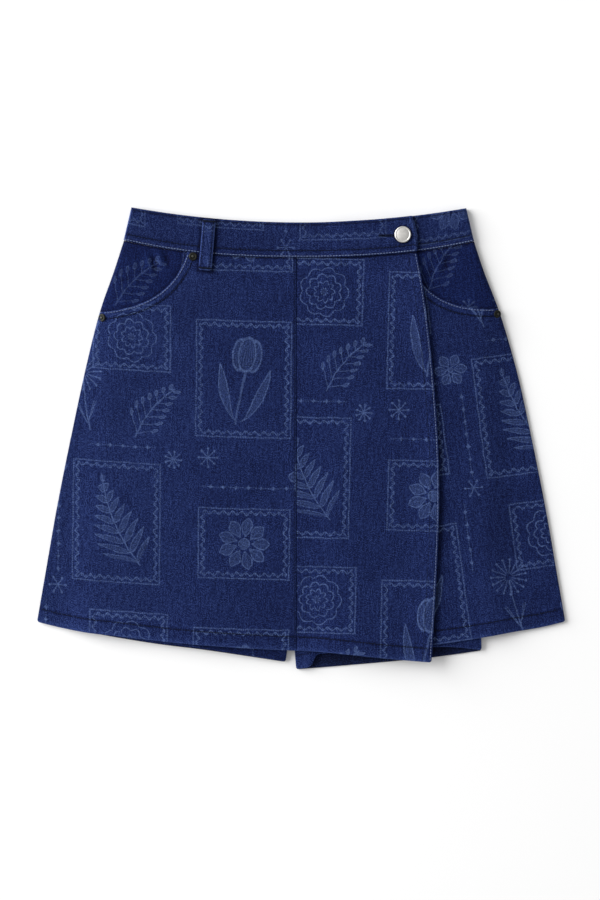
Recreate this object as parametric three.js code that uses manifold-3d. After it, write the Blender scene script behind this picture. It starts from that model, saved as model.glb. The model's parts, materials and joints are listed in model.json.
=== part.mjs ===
// A denim wrap-front skort with short legs under it, laid flat on its back.
// Millimetres. +X runs to the right across the garment, +Y up to the waistband, +Z up off the surface.
// The origin is under the middle of the garment, on the surface that it lies on.

import * as THREE from "three";
import { mergeVertices } from "three/addons/utils/BufferGeometryUtils.js";
import Module from "manifold-3d";

const wasm = await Module();
wasm.setup();

// ---------------------------------------------------------------- driving dimensions

const CLOTH = 1.1;             // one layer of denim
const SEAM_GAP = 0.3;          // between pieces that are sewn together
const AIR = 0.7;               // between layers that lie on each other
const AIR_REACH = 34;          // distance below the waist seam where the air has opened up
const HEM_DEPTH = 15;          // double-turned hem
const HEM_EXTRA = 0.6;         // what the turned cloth adds to a hem
const HEM_STEP = 3;            // width of the step at the top of a hem
const RAMP = 40;               // a layer comes down over this distance past the edge under it
const RAMP_START = 4;

const BAND_THICKNESS = 3.0;    // two layers of denim with the seam allowances inside
const WAIST_HALF = 173;        // half width at the top of the waistband
const SEAM_HALF = 181;         // half width at the waist seam
const LEAN = -2.4;             // the waist lies this far to the left of the hem's middle
const BAND_HEIGHT = 36.3;
const BAND_TOP_MIDDLE = 223.2; // y of the band's top edge at the centre front
const BAND_TOP_RISE = 15.2;    // how far that edge has risen at the side
const SEAM_MIDDLE = BAND_TOP_MIDDLE - BAND_HEIGHT;
const SEAM_RISE = 17.3;        // the same for the waist seam, which curves up later
const SEAM_POWER = 2.45;

const CENTRE_SEAM_X = -4.7;
const CENTRE_BACK_X = -9.3;    // where the two legs meet
const CROTCH_Y = -176;
const HIDDEN_INSET = 1.6;      // a hidden edge stays this far inside the edge over it

const UNDERLAP_BAND_END_X = 60;
const UNDERLAP_HEM_END_X = 44;
const FACING_DEPTH = 17;       // how far a pocket facing runs on under the front
const FACING_CLEAR = 0.5;      // and how far above the pocket's edge it ends beside the side seam

const LEG_BOW = 2.6;           // rise of each leg's front layer in the middle of its opening
const WRAP_LIFT = 1.8;         // the wrap's free edge stands this far off the underlap
const WRAP_LIFT_REACH = 34;

const BUTTON = { x: 104.7, y: 210.2, radius: 8.5, rim: 2.2, dome: 0.7, postRadius: 2.6 };
const BUTTONHOLE = { left: 81, eyeRadius: 3.6, slitHalf: 0.6, y: 209.2 };
const LOOP = {
  topX: -94.8,
  topY: 226.2,
  bottomX: -99.3,
  bottomY: 173.4,
  width: 13.5,
  thickness: 1.9,
  arch: 1.0,
  fold: 5,           // length of cloth turned under at each end
  foldExtra: 0.7,
  edgeDrop: 0.5,
};
const RIVET = { radius: 4.5, height: 1.3, nipple: 1.5 };
const RIVETS = [
  { name: "rivet_pocket_top_left", x: -111.6, y: 187.9 },
  { name: "rivet_pocket_side_left", x: -204.6, y: 124.6 },
  { name: "rivet_pocket_side_right", x: 201.8, y: 128.4 },
];

// ---------------------------------------------------------------- outlines

// Half width of the skirt at each height, along the side seam.
const SIDE_SEAM = [
  { y: 204.5, half: 181.0 },
  { y: 174.0, half: 191.0 },
  { y: 133.0, half: 206.0 },
  { y: 71.0, half: 223.0 },
  { y: 9.0, half: 236.6 },
  { y: -74.0, half: 253.2 },
  { y: -136.0, half: 264.0 },
  { y: -188.0, half: 273.0 },
];

// Hem of the left front and the wrap, one line from the side seam to the wrap's corner.
const FRONT_HEM = [
  { x: -273, y: -188.6 },
  { x: -250, y: -195.0 },
  { x: -221, y: -200.6 },
  { x: -157, y: -209.6 },
  { x: -61, y: -216.4 },
  { x: -13, y: -219.0 },
  { x: 62, y: -226.2 },
  { x: 134, y: -231.4 },
];

const UNDERLAP_HEM = [
  { x: 44, y: -216.4 },
  { x: 135, y: -213.0 },
  { x: 188, y: -206.0 },
  { x: 221, y: -200.5 },
  { x: 247, y: -195.0 },
  { x: 273, y: -188.2 },
];

// Free edge of the wrap, from the waist seam to the hem.
const WRAP_EDGE = [
  { y: 193, x: 118.9 },
  { y: 162, x: 124.3 },
  { y: 125, x: 129.5 },
  { y: 69, x: 135.7 },
  { y: -12, x: 141.4 },
  { y: -64, x: 142.3 },
  { y: -116, x: 140.8 },
  { y: -231.4, x: 134.0 },
];

// Each short leg: its hem from the outer to the inner corner, and where its outer side starts at the waist.
const LEG = {
  left: {
    side: -1,
    waistX: -171,
    hem: [{ x: -214, y: -201.6 }, { x: -186, y: -205.5 }, { x: -104, y: -217.5 }, { x: -16.2, y: -231.2 }],
    frontHemRise: [{ x: -214, rise: 0.8 }, { x: -115, rise: 1.6 }, { x: -16.2, rise: 0.8 }],
  },
  right: {
    side: 1,
    waistX: 171,
    hem: [{ x: 186.6, y: -219.2 }, { x: 135, y: -225.8 }, { x: 41, y: -234.5 }, { x: -5.2, y: -238.7 }],
    frontHemRise: [
      { x: 186.6, rise: 0.8 },
      { x: 150, rise: 9.4 },
      { x: 60, rise: 14 },
      { x: 24, rise: 14.5 },
      { x: 16, rise: 13.4 },
      { x: 14, rise: 10.5 },
      { x: 12, rise: 5.4 },
      { x: 8, rise: 1.9 },
      { x: 2, rise: 0.9 },
      { x: -5.2, rise: 0.8 },
    ],
  },
};

// Pocket edges as one curve each: its top on the waist seam, its end on the side seam, and how far the
// curve holds its direction at each of them.
const POCKET = {
  left: { side: -1, topX: 117.4, endY: 130.5, topPull: [10.8, -38.4], endPull: [-50, 3.1] },
  right: { side: 1, topX: 110.0, endY: 134.4, topPull: [10.0, -44.0], endPull: [-48, -4.4] },
};

// Broad soft folds that open from the hip to the hem. Each is a ridge along a line.
const FOLDS = [
  { topX: -150, hemX: -206, start: 70, width: 50, height: 1.9 },
  { topX: -70, hemX: -104, start: 0, width: 44, height: 1.3 },
  { topX: 44, hemX: 58, start: -20, width: 52, height: 1.5 },
  { topX: 172, hemX: 214, start: 60, width: 44, height: 1.9 },
];
const FOLD_HEM_Y = -225;

// ---------------------------------------------------------------- small helpers

const clamp01 = (v) => Math.min(1, Math.max(0, v));
const mix = (a, b, f) => a + (b - a) * f;

function smooth(v) {
  const f = clamp01(v);
  return f * f * (3 - 2 * f);
}

// Smooth curve through a table's rows: the value in column `out` where column `key` reaches `at`.
function readTable(rows, key, out, at) {
  const rising = rows[rows.length - 1][key] > rows[0][key];
  const ordered = rising ? rows : [...rows].reverse();
  const last = ordered.length - 1;
  const value = Math.min(ordered[last][key], Math.max(ordered[0][key], at));
  let i = 0;
  while (i < last - 1 && value > ordered[i + 1][key]) i += 1;
  const slope = (a, b) => (ordered[b][out] - ordered[a][out]) / (ordered[b][key] - ordered[a][key]);
  const span = ordered[i + 1][key] - ordered[i][key];
  const here = slope(i, i + 1);
  const before = i > 0 ? (slope(i - 1, i) + here) / 2 : here;
  const after = i + 1 < last ? (slope(i + 1, i + 2) + here) / 2 : here;
  const f = (value - ordered[i][key]) / span;
  const f2 = f * f;
  const f3 = f2 * f;
  return (2 * f3 - 3 * f2 + 1) * ordered[i][out] + (f3 - 2 * f2 + f) * span * before
    + (3 * f2 - 2 * f3) * ordered[i + 1][out] + (f3 - f2) * span * after;
}

const waistSeamY = (x) => SEAM_MIDDLE + SEAM_RISE * Math.pow(Math.abs(x) / SEAM_HALF, SEAM_POWER);
const bandTopY = (x) => BAND_TOP_MIDDLE + BAND_TOP_RISE * Math.pow(x / WAIST_HALF, 2);
const lean = (y) => LEAN * smooth((y - 40) / 150);
const sideX = (side, y) => side * readTable(SIDE_SEAM, "y", "half", y) + lean(y);
const seamEndX = (side) => side * SEAM_HALF + LEAN;
const frontHemY = (x) => readTable(FRONT_HEM, "x", "y", x);
const underlapHemY = (x) => readTable(UNDERLAP_HEM, "x", "y", x);
const wrapEdgeX = (y) => readTable(WRAP_EDGE, "y", "x", y);
const legHemY = (leg, x) => readTable(leg.hem, "x", "y", x);
const backHemY = (x) => -212.5 + 23 * Math.pow(Math.abs(x) / 272, 2.2);

function pocketCurve(pocket) {
  const top = new THREE.Vector2(pocket.topX, waistSeamY(pocket.topX));
  const end = new THREE.Vector2(pocket.side * sideX(pocket.side, pocket.endY), pocket.endY);
  const topPull = new THREE.Vector2(...pocket.topPull).add(top);
  const endPull = new THREE.Vector2(...pocket.endPull).add(end);
  return new THREE.CubicBezierCurve(top, topPull, endPull, end);
}

const POCKET_CURVES = new Map(Object.values(POCKET).map((pocket) => [pocket, pocketCurve(pocket)]));

// A point on the pocket's edge, or `drop` millimetres below it on the garment.
function pocketPoint(pocket, f, drop = 0) {
  const at = POCKET_CURVES.get(pocket).getPoint(f);
  const way = POCKET_CURVES.get(pocket).getTangent(f);
  return [pocket.side * (at.x + way.y * drop), at.y - way.x * drop];
}

function distanceToPocket(pocket, x, y) {
  let nearest = Infinity;
  for (let k = 0; k <= 24; k += 1) {
    const [px, py] = pocketPoint(pocket, k / 24);
    nearest = Math.min(nearest, Math.hypot(px - x, py - y));
  }
  return nearest;
}

// ---------------------------------------------------------------- how the layers lie on each other

const air = (x, y) => mix(SEAM_GAP, AIR, smooth((waistSeamY(x) - y) / AIR_REACH));
const layer = (x, y) => CLOTH + air(x, y);

// 1 over a region and falling to 0 once `outside` millimetres past its edge.
const coverage = (outside) => 1 - smooth((outside - RAMP_START) / RAMP);

function legSideX(leg, y) {
  const f = clamp01((waistSeamY(leg.waistX) - y) / (waistSeamY(leg.waistX) - leg.hem[0].y));
  return mix(leg.waistX, leg.hem[0].x, f);
}

function shortsCover(x, y) {
  const leg = x < CENTRE_BACK_X ? LEG.left : LEG.right;
  return coverage((x - legSideX(leg, y)) * leg.side);
}

const backCover = (x, y) => 1 - smooth((backHemY(x) - y) / (RAMP / 2));
const underlapCover = (x) => coverage(UNDERLAP_HEM_END_X - x);

function facingCover(pocket, x, y) {
  if (x * pocket.side < 0) return 0;
  return coverage(distanceToPocket(pocket, x, y) - FACING_DEPTH);
}

// Rise of the front layer over a leg's opening, none at the leg's two seams.
function legBow(x, y) {
  const leg = x < CENTRE_BACK_X ? LEG.left : LEG.right;
  const outer = legSideX(leg, y);
  const across = clamp01((x - CENTRE_BACK_X) / (outer - CENTRE_BACK_X));
  const down = smooth((-150 - y) / 66);
  return LEG_BOW * Math.pow(Math.sin(Math.PI * across), 0.8) * down;
}

// A leg's hem is thicker, and what lies on it rises with it.
function legHemRise(x, y) {
  const leg = x < CENTRE_BACK_X ? LEG.left : LEG.right;
  return HEM_EXTRA * smooth((legHemY(leg, x) + HEM_DEPTH + 22 - y) / 20);
}

function fold(x, y) {
  let rise = 0;
  for (const ridge of FOLDS) {
    const down = clamp01((ridge.start - y) / (ridge.start - FOLD_HEM_Y));
    const across = (x - mix(ridge.topX, ridge.hemX, down)) / ridge.width;
    if (Math.abs(across) >= 1) continue;
    rise += ridge.height * smooth(down) * Math.pow(Math.cos((across * Math.PI) / 2), 2);
  }
  return rise;
}

function wrapLift(x, y) {
  const inside = wrapEdgeX(y) - x;
  const down = smooth((waistSeamY(x) - y) / AIR_REACH);
  return WRAP_LIFT * down * (1 - smooth(inside / WRAP_LIFT_REACH));
}

const lieShortsBack = (x, y) => layer(x, y) * backCover(x, y);
const lieShortsFront = (x, y) => lieShortsBack(x, y) + layer(x, y) + legHemRise(x, y) + legBow(x, y);
const shortsDepth = (x, y) => 2 * layer(x, y) + 2 * legHemRise(x, y) + legBow(x, y);
const lieOnShorts = (x, y) => layer(x, y) + shortsDepth(x, y) * shortsCover(x, y);
const lieLeft = (x, y) => lieOnShorts(x, y) + layer(x, y) * facingCover(POCKET.left, x, y) + fold(x, y);
const lieRight = (x, y) => lieOnShorts(x, y) + layer(x, y) * facingCover(POCKET.right, x, y) + fold(x, y);

function underlapHemRise(x, y) {
  return HEM_EXTRA * smooth((underlapHemY(Math.max(x, UNDERLAP_HEM_END_X)) + HEM_DEPTH + 24 - y) / 20);
}

const underlapDepth = (x, y) => (layer(x, y) + underlapHemRise(x, y)) * underlapCover(x);
const lieWrap = (x, y) => lieRight(x, y) + underlapDepth(x, y) + wrapLift(x, y);

// ---------------------------------------------------------------- walls of cloth

// The point at (s, t) of a patch between four edges: s runs left to right, t from top to bottom.
function patchPoint(edges, s, t) {
  const top = edges.top(s);
  const bottom = edges.bottom(s);
  const left = edges.left(t);
  const right = edges.right(t);
  const corners = [edges.top(0), edges.top(1), edges.bottom(0), edges.bottom(1)];
  return [0, 1].map((k) => mix(top[k], bottom[k], t) + mix(left[k], right[k], s)
    - mix(mix(corners[0][k], corners[1][k], s), mix(corners[2][k], corners[3][k], s), t));
}

const evenPlaces = (count) => Array.from({ length: count + 1 }, (_, i) => i / count);

// Rows down a panel: close together below the waist seam and at the hem, even between.
function rowPlaces(length, rows, hem) {
  const near = [0, 9, 20, 34];
  const far = hem ? [HEM_DEPTH + HEM_STEP, HEM_DEPTH, 0] : [0];
  const from = near[near.length - 1];
  const to = length - far[0];
  const between = Array.from({ length: rows - 1 }, (_, k) => mix(from, to, (k + 1) / rows));
  return [...near, ...between, ...far.map((d) => length - d)].map((d) => d / length);
}

// Turns a grid of upper and lower points into one closed mesh.
function wallGeometry(upper, lower) {
  const across = upper.length;
  const down = upper[0].length;
  const positions = [];
  for (const grid of [upper, lower]) for (const column of grid) for (const p of column) positions.push(...p);
  const id = (side, i, j) => side * across * down + i * down + j;
  const faces = [];
  const quad = (a, b, c, d) => faces.push(a, b, c, a, c, d);
  for (let i = 0; i < across - 1; i += 1) {
    for (let j = 0; j < down - 1; j += 1) {
      quad(id(0, i, j), id(0, i, j + 1), id(0, i + 1, j + 1), id(0, i + 1, j));
      quad(id(1, i, j), id(1, i + 1, j), id(1, i + 1, j + 1), id(1, i, j + 1));
    }
  }
  const rim = [];
  for (let j = 0; j < down - 1; j += 1) rim.push([0, j]);
  for (let i = 0; i < across - 1; i += 1) rim.push([i, down - 1]);
  for (let j = down - 1; j > 0; j -= 1) rim.push([across - 1, j]);
  for (let i = across - 1; i > 0; i -= 1) rim.push([i, 0]);
  rim.forEach(([i, j], k) => {
    const [ni, nj] = rim[(k + 1) % rim.length];
    quad(id(0, i, j), id(1, i, j), id(1, ni, nj), id(0, ni, nj));
  });
  const geometry = new THREE.BufferGeometry();
  geometry.setAttribute("position", new THREE.Float32BufferAttribute(positions, 3));
  geometry.setIndex(faces);
  geometry.computeVertexNormals();
  return geometry;
}

// A panel of cloth. `lie` gives the height of its underside. A hemmed panel is thicker along the hem. A
// rolled edge comes down to the layer that it is sewn to, as the seam allowances inside it make it do.
function panel({ edges, columns, rows, lie, thickness = CLOTH, hem = true, rolled = {}, tableRows = null }) {
  const places = Array.isArray(columns) ? columns : evenPlaces(columns);
  const upper = [];
  const lower = [];
  places.forEach((s, i) => {
    const top = edges.top(s);
    const bottom = edges.bottom(s);
    const length = Math.hypot(bottom[0] - top[0], bottom[1] - top[1]);
    const list = tableRows ?? rowPlaces(length, rows, hem);
    const isRolled = (i === 0 && rolled.left) || (i === places.length - 1 && rolled.right);
    const columnUp = [];
    const columnDown = [];
    list.forEach((t, j) => {
      const [x, y] = patchPoint(edges, s, t);
      const inHem = hem && j >= list.length - 2;
      const base = lie(x, y);
      const under = isRolled ? Math.min(base, CLOTH + SEAM_GAP) : base;
      const over = isRolled ? mix(under, base, 0.55) + thickness : base + thickness;
      columnUp.push([x, y, over + (inHem ? HEM_EXTRA : 0)]);
      columnDown.push([x, y, under]);
    });
    upper.push(columnUp);
    lower.push(columnDown);
  });
  return wallGeometry(upper, lower);
}

// Even column places with one more close to the left or right edge.
function columnsWith(count, { left = 0, right = 0 }) {
  const inner = Array.from({ length: count - 1 }, (_, i) => (i + 1) / count);
  return [0, ...(left ? [left] : []), ...inner, ...(right ? [1 - right] : []), 1];
}

// Where a front's first column stands inside its rolled side edge, as a share of its width.
const ROLL_SHARE = 0.022;

// ---------------------------------------------------------------- colours

const finish = (color, roughness, metalness) => new THREE.MeshStandardMaterial({ color, roughness, metalness });
const denim = () => finish(0x26376f, 0.92, 0);
const bandDenim = () => finish(0x213063, 0.92, 0);
const insideDenim = () => finish(0x141d42, 0.95, 0);
const nickel = () => finish(0xc2bfba, 0.35, 0.9);
const darkBrass = () => finish(0x3a3226, 0.45, 0.85);

const skort = new THREE.Group();

function addPiece(name, geometry, material) {
  const mesh = new THREE.Mesh(geometry, material);
  mesh.name = name;
  skort.add(mesh);
  return mesh;
}

// ---------------------------------------------------------------- back and shorts

function backPanel() {
  const edgeX = (side, y) => sideX(side, y) - side * HIDDEN_INSET;
  const low = backHemY(sideX(1, -189));
  const sideY = (t) => mix(waistSeamY(SEAM_HALF) - SEAM_GAP / 2, low, t);
  const edges = {
    top: (s) => {
      const x = mix(edgeX(-1, sideY(0)), edgeX(1, sideY(0)), s);
      return [x, waistSeamY(x) - SEAM_GAP / 2];
    },
    bottom: (s) => {
      const x = mix(edgeX(-1, low), edgeX(1, low), s);
      return [x, backHemY(x)];
    },
    left: (t) => [edgeX(-1, sideY(t)), mix(edges.top(0)[1], edges.bottom(0)[1], t)],
    right: (t) => [edgeX(1, sideY(t)), mix(edges.top(1)[1], edges.bottom(1)[1], t)],
  };
  return panel({ edges, columns: 14, lie: () => 0, hem: false, tableRows: evenPlaces(10) });
}

function legEdges(leg, front) {
  const centre = CENTRE_BACK_X + leg.side * SEAM_GAP / 2;
  const outerCorner = leg.hem[0];
  const innerCorner = leg.hem[leg.hem.length - 1];
  const rise = (x) => (front ? readTable(leg.frontHemRise, "x", "rise", x) : 0);
  const hemPoint = (x) => [x, legHemY(leg, x) + rise(x)];
  const seamTop = (x) => [x, waistSeamY(x) - SEAM_GAP / 2];
  const centreTop = seamTop(centre)[1];
  const innerBottom = hemPoint(innerCorner.x)[1];
  const inner = (t) => {
    const y = mix(centreTop, innerBottom, t);
    const open = Math.pow(clamp01((CROTCH_Y - y) / (CROTCH_Y - innerBottom)), 1.3);
    return [mix(centre, innerCorner.x, open), y];
  };
  const outer = (t) => {
    const start = seamTop(leg.waistX);
    const end = hemPoint(outerCorner.x);
    return [mix(start[0], end[0], t), mix(start[1], end[1], t)];
  };
  const fromCentre = (s) => (leg.side > 0 ? s : 1 - s);
  return {
    top: (s) => seamTop(mix(centre, leg.waistX, fromCentre(s))),
    bottom: (s) => hemPoint(mix(innerCorner.x, outerCorner.x, fromCentre(s))),
    left: leg.side > 0 ? inner : outer,
    right: leg.side > 0 ? outer : inner,
  };
}

// Columns at every row of the hem's table, with more between them where they stand far apart.
function frontColumns(leg) {
  const xs = leg.frontHemRise.map((row) => row.x).sort((a, b) => a - b);
  const places = xs.map((x) => (x - xs[0]) / (xs[xs.length - 1] - xs[0]));
  const widest = 0.1;
  return places.flatMap((place, k) => {
    if (k === 0) return [0];
    const parts = Math.ceil((place - places[k - 1]) / widest);
    return Array.from({ length: parts }, (_, n) => mix(places[k - 1], place, (n + 1) / parts));
  });
}

// ---------------------------------------------------------------- skirt fronts and pocket facings

// The upper edge of a front: along the pocket curve and then along the waist seam.
function frontTop(pocket, endX, share) {
  return (s) => {
    const f = pocket.side < 0 ? s : 1 - s;
    if (f <= share) return pocketPoint(pocket, 1 - f / share);
    const x = mix(pocket.side * pocket.topX, endX, (f - share) / (1 - share));
    return [x, waistSeamY(x) - SEAM_GAP / 2];
  };
}

function sideEdge(side, fromY, toY) {
  return (t) => {
    const y = mix(fromY, toY, t);
    return [sideX(side, y), y];
  };
}

// The share of a front's columns that end on its pocket curve.
const POCKET_SHARE = { left: 9 / 18, right: 9 / 14 };

function leftFrontEdges() {
  const seamX = CENTRE_SEAM_X - SEAM_GAP / 2;
  const hemCorner = FRONT_HEM[0];
  return {
    top: frontTop(POCKET.left, seamX, POCKET_SHARE.left),
    bottom: (s) => {
      const x = mix(hemCorner.x, seamX, s);
      return [x, frontHemY(x)];
    },
    left: sideEdge(-1, POCKET.left.endY, hemCorner.y),
    right: (t) => [seamX, mix(waistSeamY(seamX) - SEAM_GAP / 2, frontHemY(seamX), t)],
  };
}

function rightFrontEdges() {
  const hemCorner = UNDERLAP_HEM[UNDERLAP_HEM.length - 1];
  const top = frontTop(POCKET.right, UNDERLAP_BAND_END_X, POCKET_SHARE.right);
  return {
    top,
    bottom: (s) => {
      const x = mix(UNDERLAP_HEM_END_X, hemCorner.x, s);
      return [x, underlapHemY(x)];
    },
    left: (t) => {
      const start = top(0);
      return [mix(start[0], UNDERLAP_HEM_END_X, t), mix(start[1], underlapHemY(UNDERLAP_HEM_END_X), t)];
    },
    right: sideEdge(1, POCKET.right.endY, hemCorner.y),
  };
}

function wrapEdges() {
  const seamX = CENTRE_SEAM_X + SEAM_GAP / 2;
  const hemCorner = FRONT_HEM[FRONT_HEM.length - 1];
  const topRight = wrapEdgeX(WRAP_EDGE[0].y);
  const topY = (x) => waistSeamY(x) - SEAM_GAP / 2;
  return {
    top: (s) => {
      const x = mix(seamX, topRight, s);
      return [x, topY(x)];
    },
    bottom: (s) => {
      const x = mix(seamX, hemCorner.x, s);
      return [x, frontHemY(x)];
    },
    left: (t) => [seamX, mix(topY(seamX), frontHemY(seamX), t)],
    right: (t) => {
      const y = mix(topY(topRight), hemCorner.y, t);
      return [wrapEdgeX(y), y];
    },
  };
}

// A facing: the waist seam above, the side seam outside, and a hidden edge that follows the pocket curve,
// well under the front, but just above the pocket's edge beside the side seam, where both roll down.
function facingEdges(pocket) {
  const seamTop = (x) => [x, waistSeamY(x) - SEAM_GAP / 2];
  const innerX = pocket.side * (pocket.topX - 7);
  const outerX = seamEndX(pocket.side);
  const outer = sideEdge(pocket.side, seamTop(outerX)[1], pocket.endY + FACING_CLEAR);
  const hidden = (f) => {
    const depth = mix(FACING_DEPTH * mix(0.85, 1, f), -FACING_CLEAR, smooth((f - 0.7) / 0.16));
    return pocketPoint(pocket, mix(0.12, 1, f), depth);
  };
  const inner = (f) => {
    const [x, y] = seamTop(innerX);
    const [endX, endY] = hidden(0);
    return [mix(x, endX, f), mix(y, endY, f)];
  };
  const fromInner = (s) => (pocket.side > 0 ? s : 1 - s);
  return {
    top: (s) => seamTop(mix(innerX, outerX, fromInner(s))),
    bottom: (s) => hidden(fromInner(s)),
    left: pocket.side > 0 ? inner : outer,
    right: pocket.side > 0 ? outer : inner,
  };
}

// ---------------------------------------------------------------- waistband

// A stretch of the band between two ends, each given by the x of its top and bottom corner.
function bandEdges(leftEnd, rightEnd) {
  const lowY = (x) => waistSeamY(x) + SEAM_GAP / 2;
  const end = (corner) => (t) => {
    const top = [corner.top, bandTopY(corner.top)];
    const bottom = [corner.bottom, lowY(corner.bottom)];
    return [mix(top[0], bottom[0], t), mix(top[1], bottom[1], t)];
  };
  return {
    top: (s) => {
      const x = mix(leftEnd.top, rightEnd.top, s);
      return [x, bandTopY(x)];
    },
    bottom: (s) => {
      const x = mix(leftEnd.bottom, rightEnd.bottom, s);
      return [x, lowY(x)];
    },
    left: end(leftEnd),
    right: end(rightEnd),
  };
}

const BAND_ROWS = [0, 0.1, 0.5, 0.9, 1];
const LIE_BAND = BAND_THICKNESS + SEAM_GAP;
const lieFrontBand = (x) => LIE_BAND + (BAND_THICKNESS + SEAM_GAP) * coverage(UNDERLAP_BAND_END_X - x);
const leftBandEnd = { top: LEAN - WAIST_HALF, bottom: seamEndX(-1) };
const rightBandEnd = { top: LEAN + WAIST_HALF, bottom: seamEndX(1) };
const hiddenBandEnd = { top: UNDERLAP_BAND_END_X, bottom: UNDERLAP_BAND_END_X };
const wrapBandEnd = { top: 114.2, bottom: 119.6 };

function band(leftEnd, rightEnd, columns, lie) {
  const edges = bandEdges(leftEnd, rightEnd);
  return panel({ edges, columns, lie, thickness: BAND_THICKNESS, hem: false, tableRows: BAND_ROWS });
}

function toSolid(geometry) {
  const bare = geometry.index ? geometry.toNonIndexed() : geometry.clone();
  bare.deleteAttribute("normal");
  bare.deleteAttribute("uv");
  const merged = mergeVertices(bare, 1e-4);
  const vertProperties = new Float32Array(merged.attributes.position.array);
  const triVerts = new Uint32Array(merged.index.array);
  return new wasm.Manifold(new wasm.Mesh({ numProp: 3, vertProperties, triVerts }));
}

function fromSolid(solid) {
  const mesh = solid.getMesh();
  const geometry = new THREE.BufferGeometry();
  geometry.setAttribute("position", new THREE.Float32BufferAttribute(mesh.vertProperties, 3));
  geometry.setIndex(new THREE.Uint32BufferAttribute(mesh.triVerts, 1));
  geometry.computeVertexNormals();
  return geometry;
}

// The keyhole: a round eye for the button's post and a slit that runs from it away from the band's end.
function keyholeCutter(height) {
  const shape = new THREE.Shape();
  const turn = Math.asin(BUTTONHOLE.slitHalf / BUTTONHOLE.eyeRadius);
  shape.absarc(BUTTON.x, BUTTON.y, BUTTONHOLE.eyeRadius, Math.PI + turn, 3 * Math.PI - turn, false);
  shape.lineTo(BUTTONHOLE.left, BUTTONHOLE.y + BUTTONHOLE.slitHalf);
  shape.lineTo(BUTTONHOLE.left, BUTTONHOLE.y - BUTTONHOLE.slitHalf);
  shape.closePath();
  return new THREE.ExtrudeGeometry(shape, { depth: height, bevelEnabled: false, curveSegments: 10 });
}

function frontBand() {
  const whole = band(leftBandEnd, wrapBandEnd, 26, lieFrontBand);
  const clearOfBand = 4 * LIE_BAND;
  return fromSolid(toSolid(whole).subtract(toSolid(keyholeCutter(clearOfBand))));
}

// ---------------------------------------------------------------- loop, button and rivets

// Height of the upper face of what lies under a point of the left front or its band.
function leftFaceHeight(x, y) {
  return y > waistSeamY(x) ? lieFrontBand(x) + BAND_THICKNESS : lieLeft(x, y) + CLOTH;
}

// A strip that lies over the band and the seam below it, bowed a little between its two sewn ends.
function beltLoop() {
  const along = new THREE.Vector2(LOOP.bottomX - LOOP.topX, LOOP.bottomY - LOOP.topY);
  const length = along.length();
  const side = new THREE.Vector2(-along.y, along.x).normalize().multiplyScalar(LOOP.width / 2);
  const stations = 12;
  const middle = (f) => [LOOP.topX + along.x * f, LOOP.topY + along.y * f];
  const seatAt = (f) => {
    const nearby = [f - 0.5 / stations, f, f + 0.5 / stations].map(middle);
    return Math.max(...nearby.flatMap(([x, y]) => [-1, 0, 1].map((k) => leftFaceHeight(x + side.x * k, y))));
  };
  const upper = [];
  const lower = [];
  for (const across of [-1, -0.8, 0.8, 1]) {
    const columnUp = [];
    const columnDown = [];
    for (let k = 0; k <= stations; k += 1) {
      const f = k / stations;
      const [midX, midY] = middle(f);
      const under = seatAt(f) + SEAM_GAP + LOOP.arch * Math.sqrt(Math.sin(Math.PI * f));
      const fromEnd = Math.min(f, 1 - f) * length;
      const folded = LOOP.foldExtra * (1 - smooth((fromEnd - LOOP.fold) / 2));
      const rounding = Math.abs(across) === 1 ? LOOP.edgeDrop : 0;
      const point = [midX + side.x * across, midY + side.y * across];
      columnDown.push([...point, under]);
      columnUp.push([...point, under + LOOP.thickness + folded - rounding]);
    }
    upper.push(columnUp);
    lower.push(columnDown);
  }
  return wallGeometry(upper, lower);
}

function shankButton() {
  const bandTop = lieFrontBand(BUTTON.x) + BAND_THICKNESS;
  const foot = LIE_BAND + BAND_THICKNESS + SEAM_GAP;
  const capUnder = bandTop + SEAM_GAP;
  const capSide = capUnder + 0.8;
  const capTop = capUnder + BUTTON.rim;
  const profile = [
    [0, foot],
    [BUTTON.postRadius, foot],
    [BUTTON.postRadius, capUnder],
    [BUTTON.radius - 1.0, capUnder],
    [BUTTON.radius, capSide],
    [BUTTON.radius - 0.2, capTop - 0.5],
    [BUTTON.radius - 0.9, capTop],
    [BUTTON.radius - 1.9, capTop - 0.15],
    [BUTTON.radius - 2.6, capTop - 0.5],
    [BUTTON.radius * 0.35, capTop - 0.5 + BUTTON.dome * 0.8],
    [0, capTop - 0.5 + BUTTON.dome],
  ].map(([r, z]) => new THREE.Vector2(r, z));
  const geometry = new THREE.LatheGeometry(profile, 28);
  geometry.rotateX(Math.PI / 2);
  return geometry;
}

function rivetCap() {
  const profile = [
    [0, 0],
    [RIVET.radius, 0],
    [RIVET.radius - 0.15, RIVET.height * 0.45],
    [RIVET.radius * 0.8, RIVET.height],
    [RIVET.radius * 0.5, RIVET.height * 0.92],
    [RIVET.nipple, RIVET.height * 0.86],
    [RIVET.nipple * 0.8, RIVET.height * 1.35],
    [0, RIVET.height * 1.5],
  ].map(([r, z]) => new THREE.Vector2(r, z));
  const geometry = new THREE.LatheGeometry(profile, 16);
  geometry.rotateX(Math.PI / 2);
  return geometry;
}

// A rivet sits on the highest cloth under its rim.
function rivetSeat({ x, y }) {
  const lie = x < CENTRE_SEAM_X ? lieLeft : lieRight;
  const rim = Array.from({ length: 12 }, (_, k) => (k * Math.PI) / 6);
  return SEAM_GAP + Math.max(...rim.map((turn) => {
    const px = x + RIVET.radius * Math.cos(turn);
    const py = y + RIVET.radius * Math.sin(turn);
    return lie(px, Math.min(py, waistSeamY(px))) + CLOTH;
  }));
}

// ---------------------------------------------------------------- the skort, from the surface up

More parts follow.
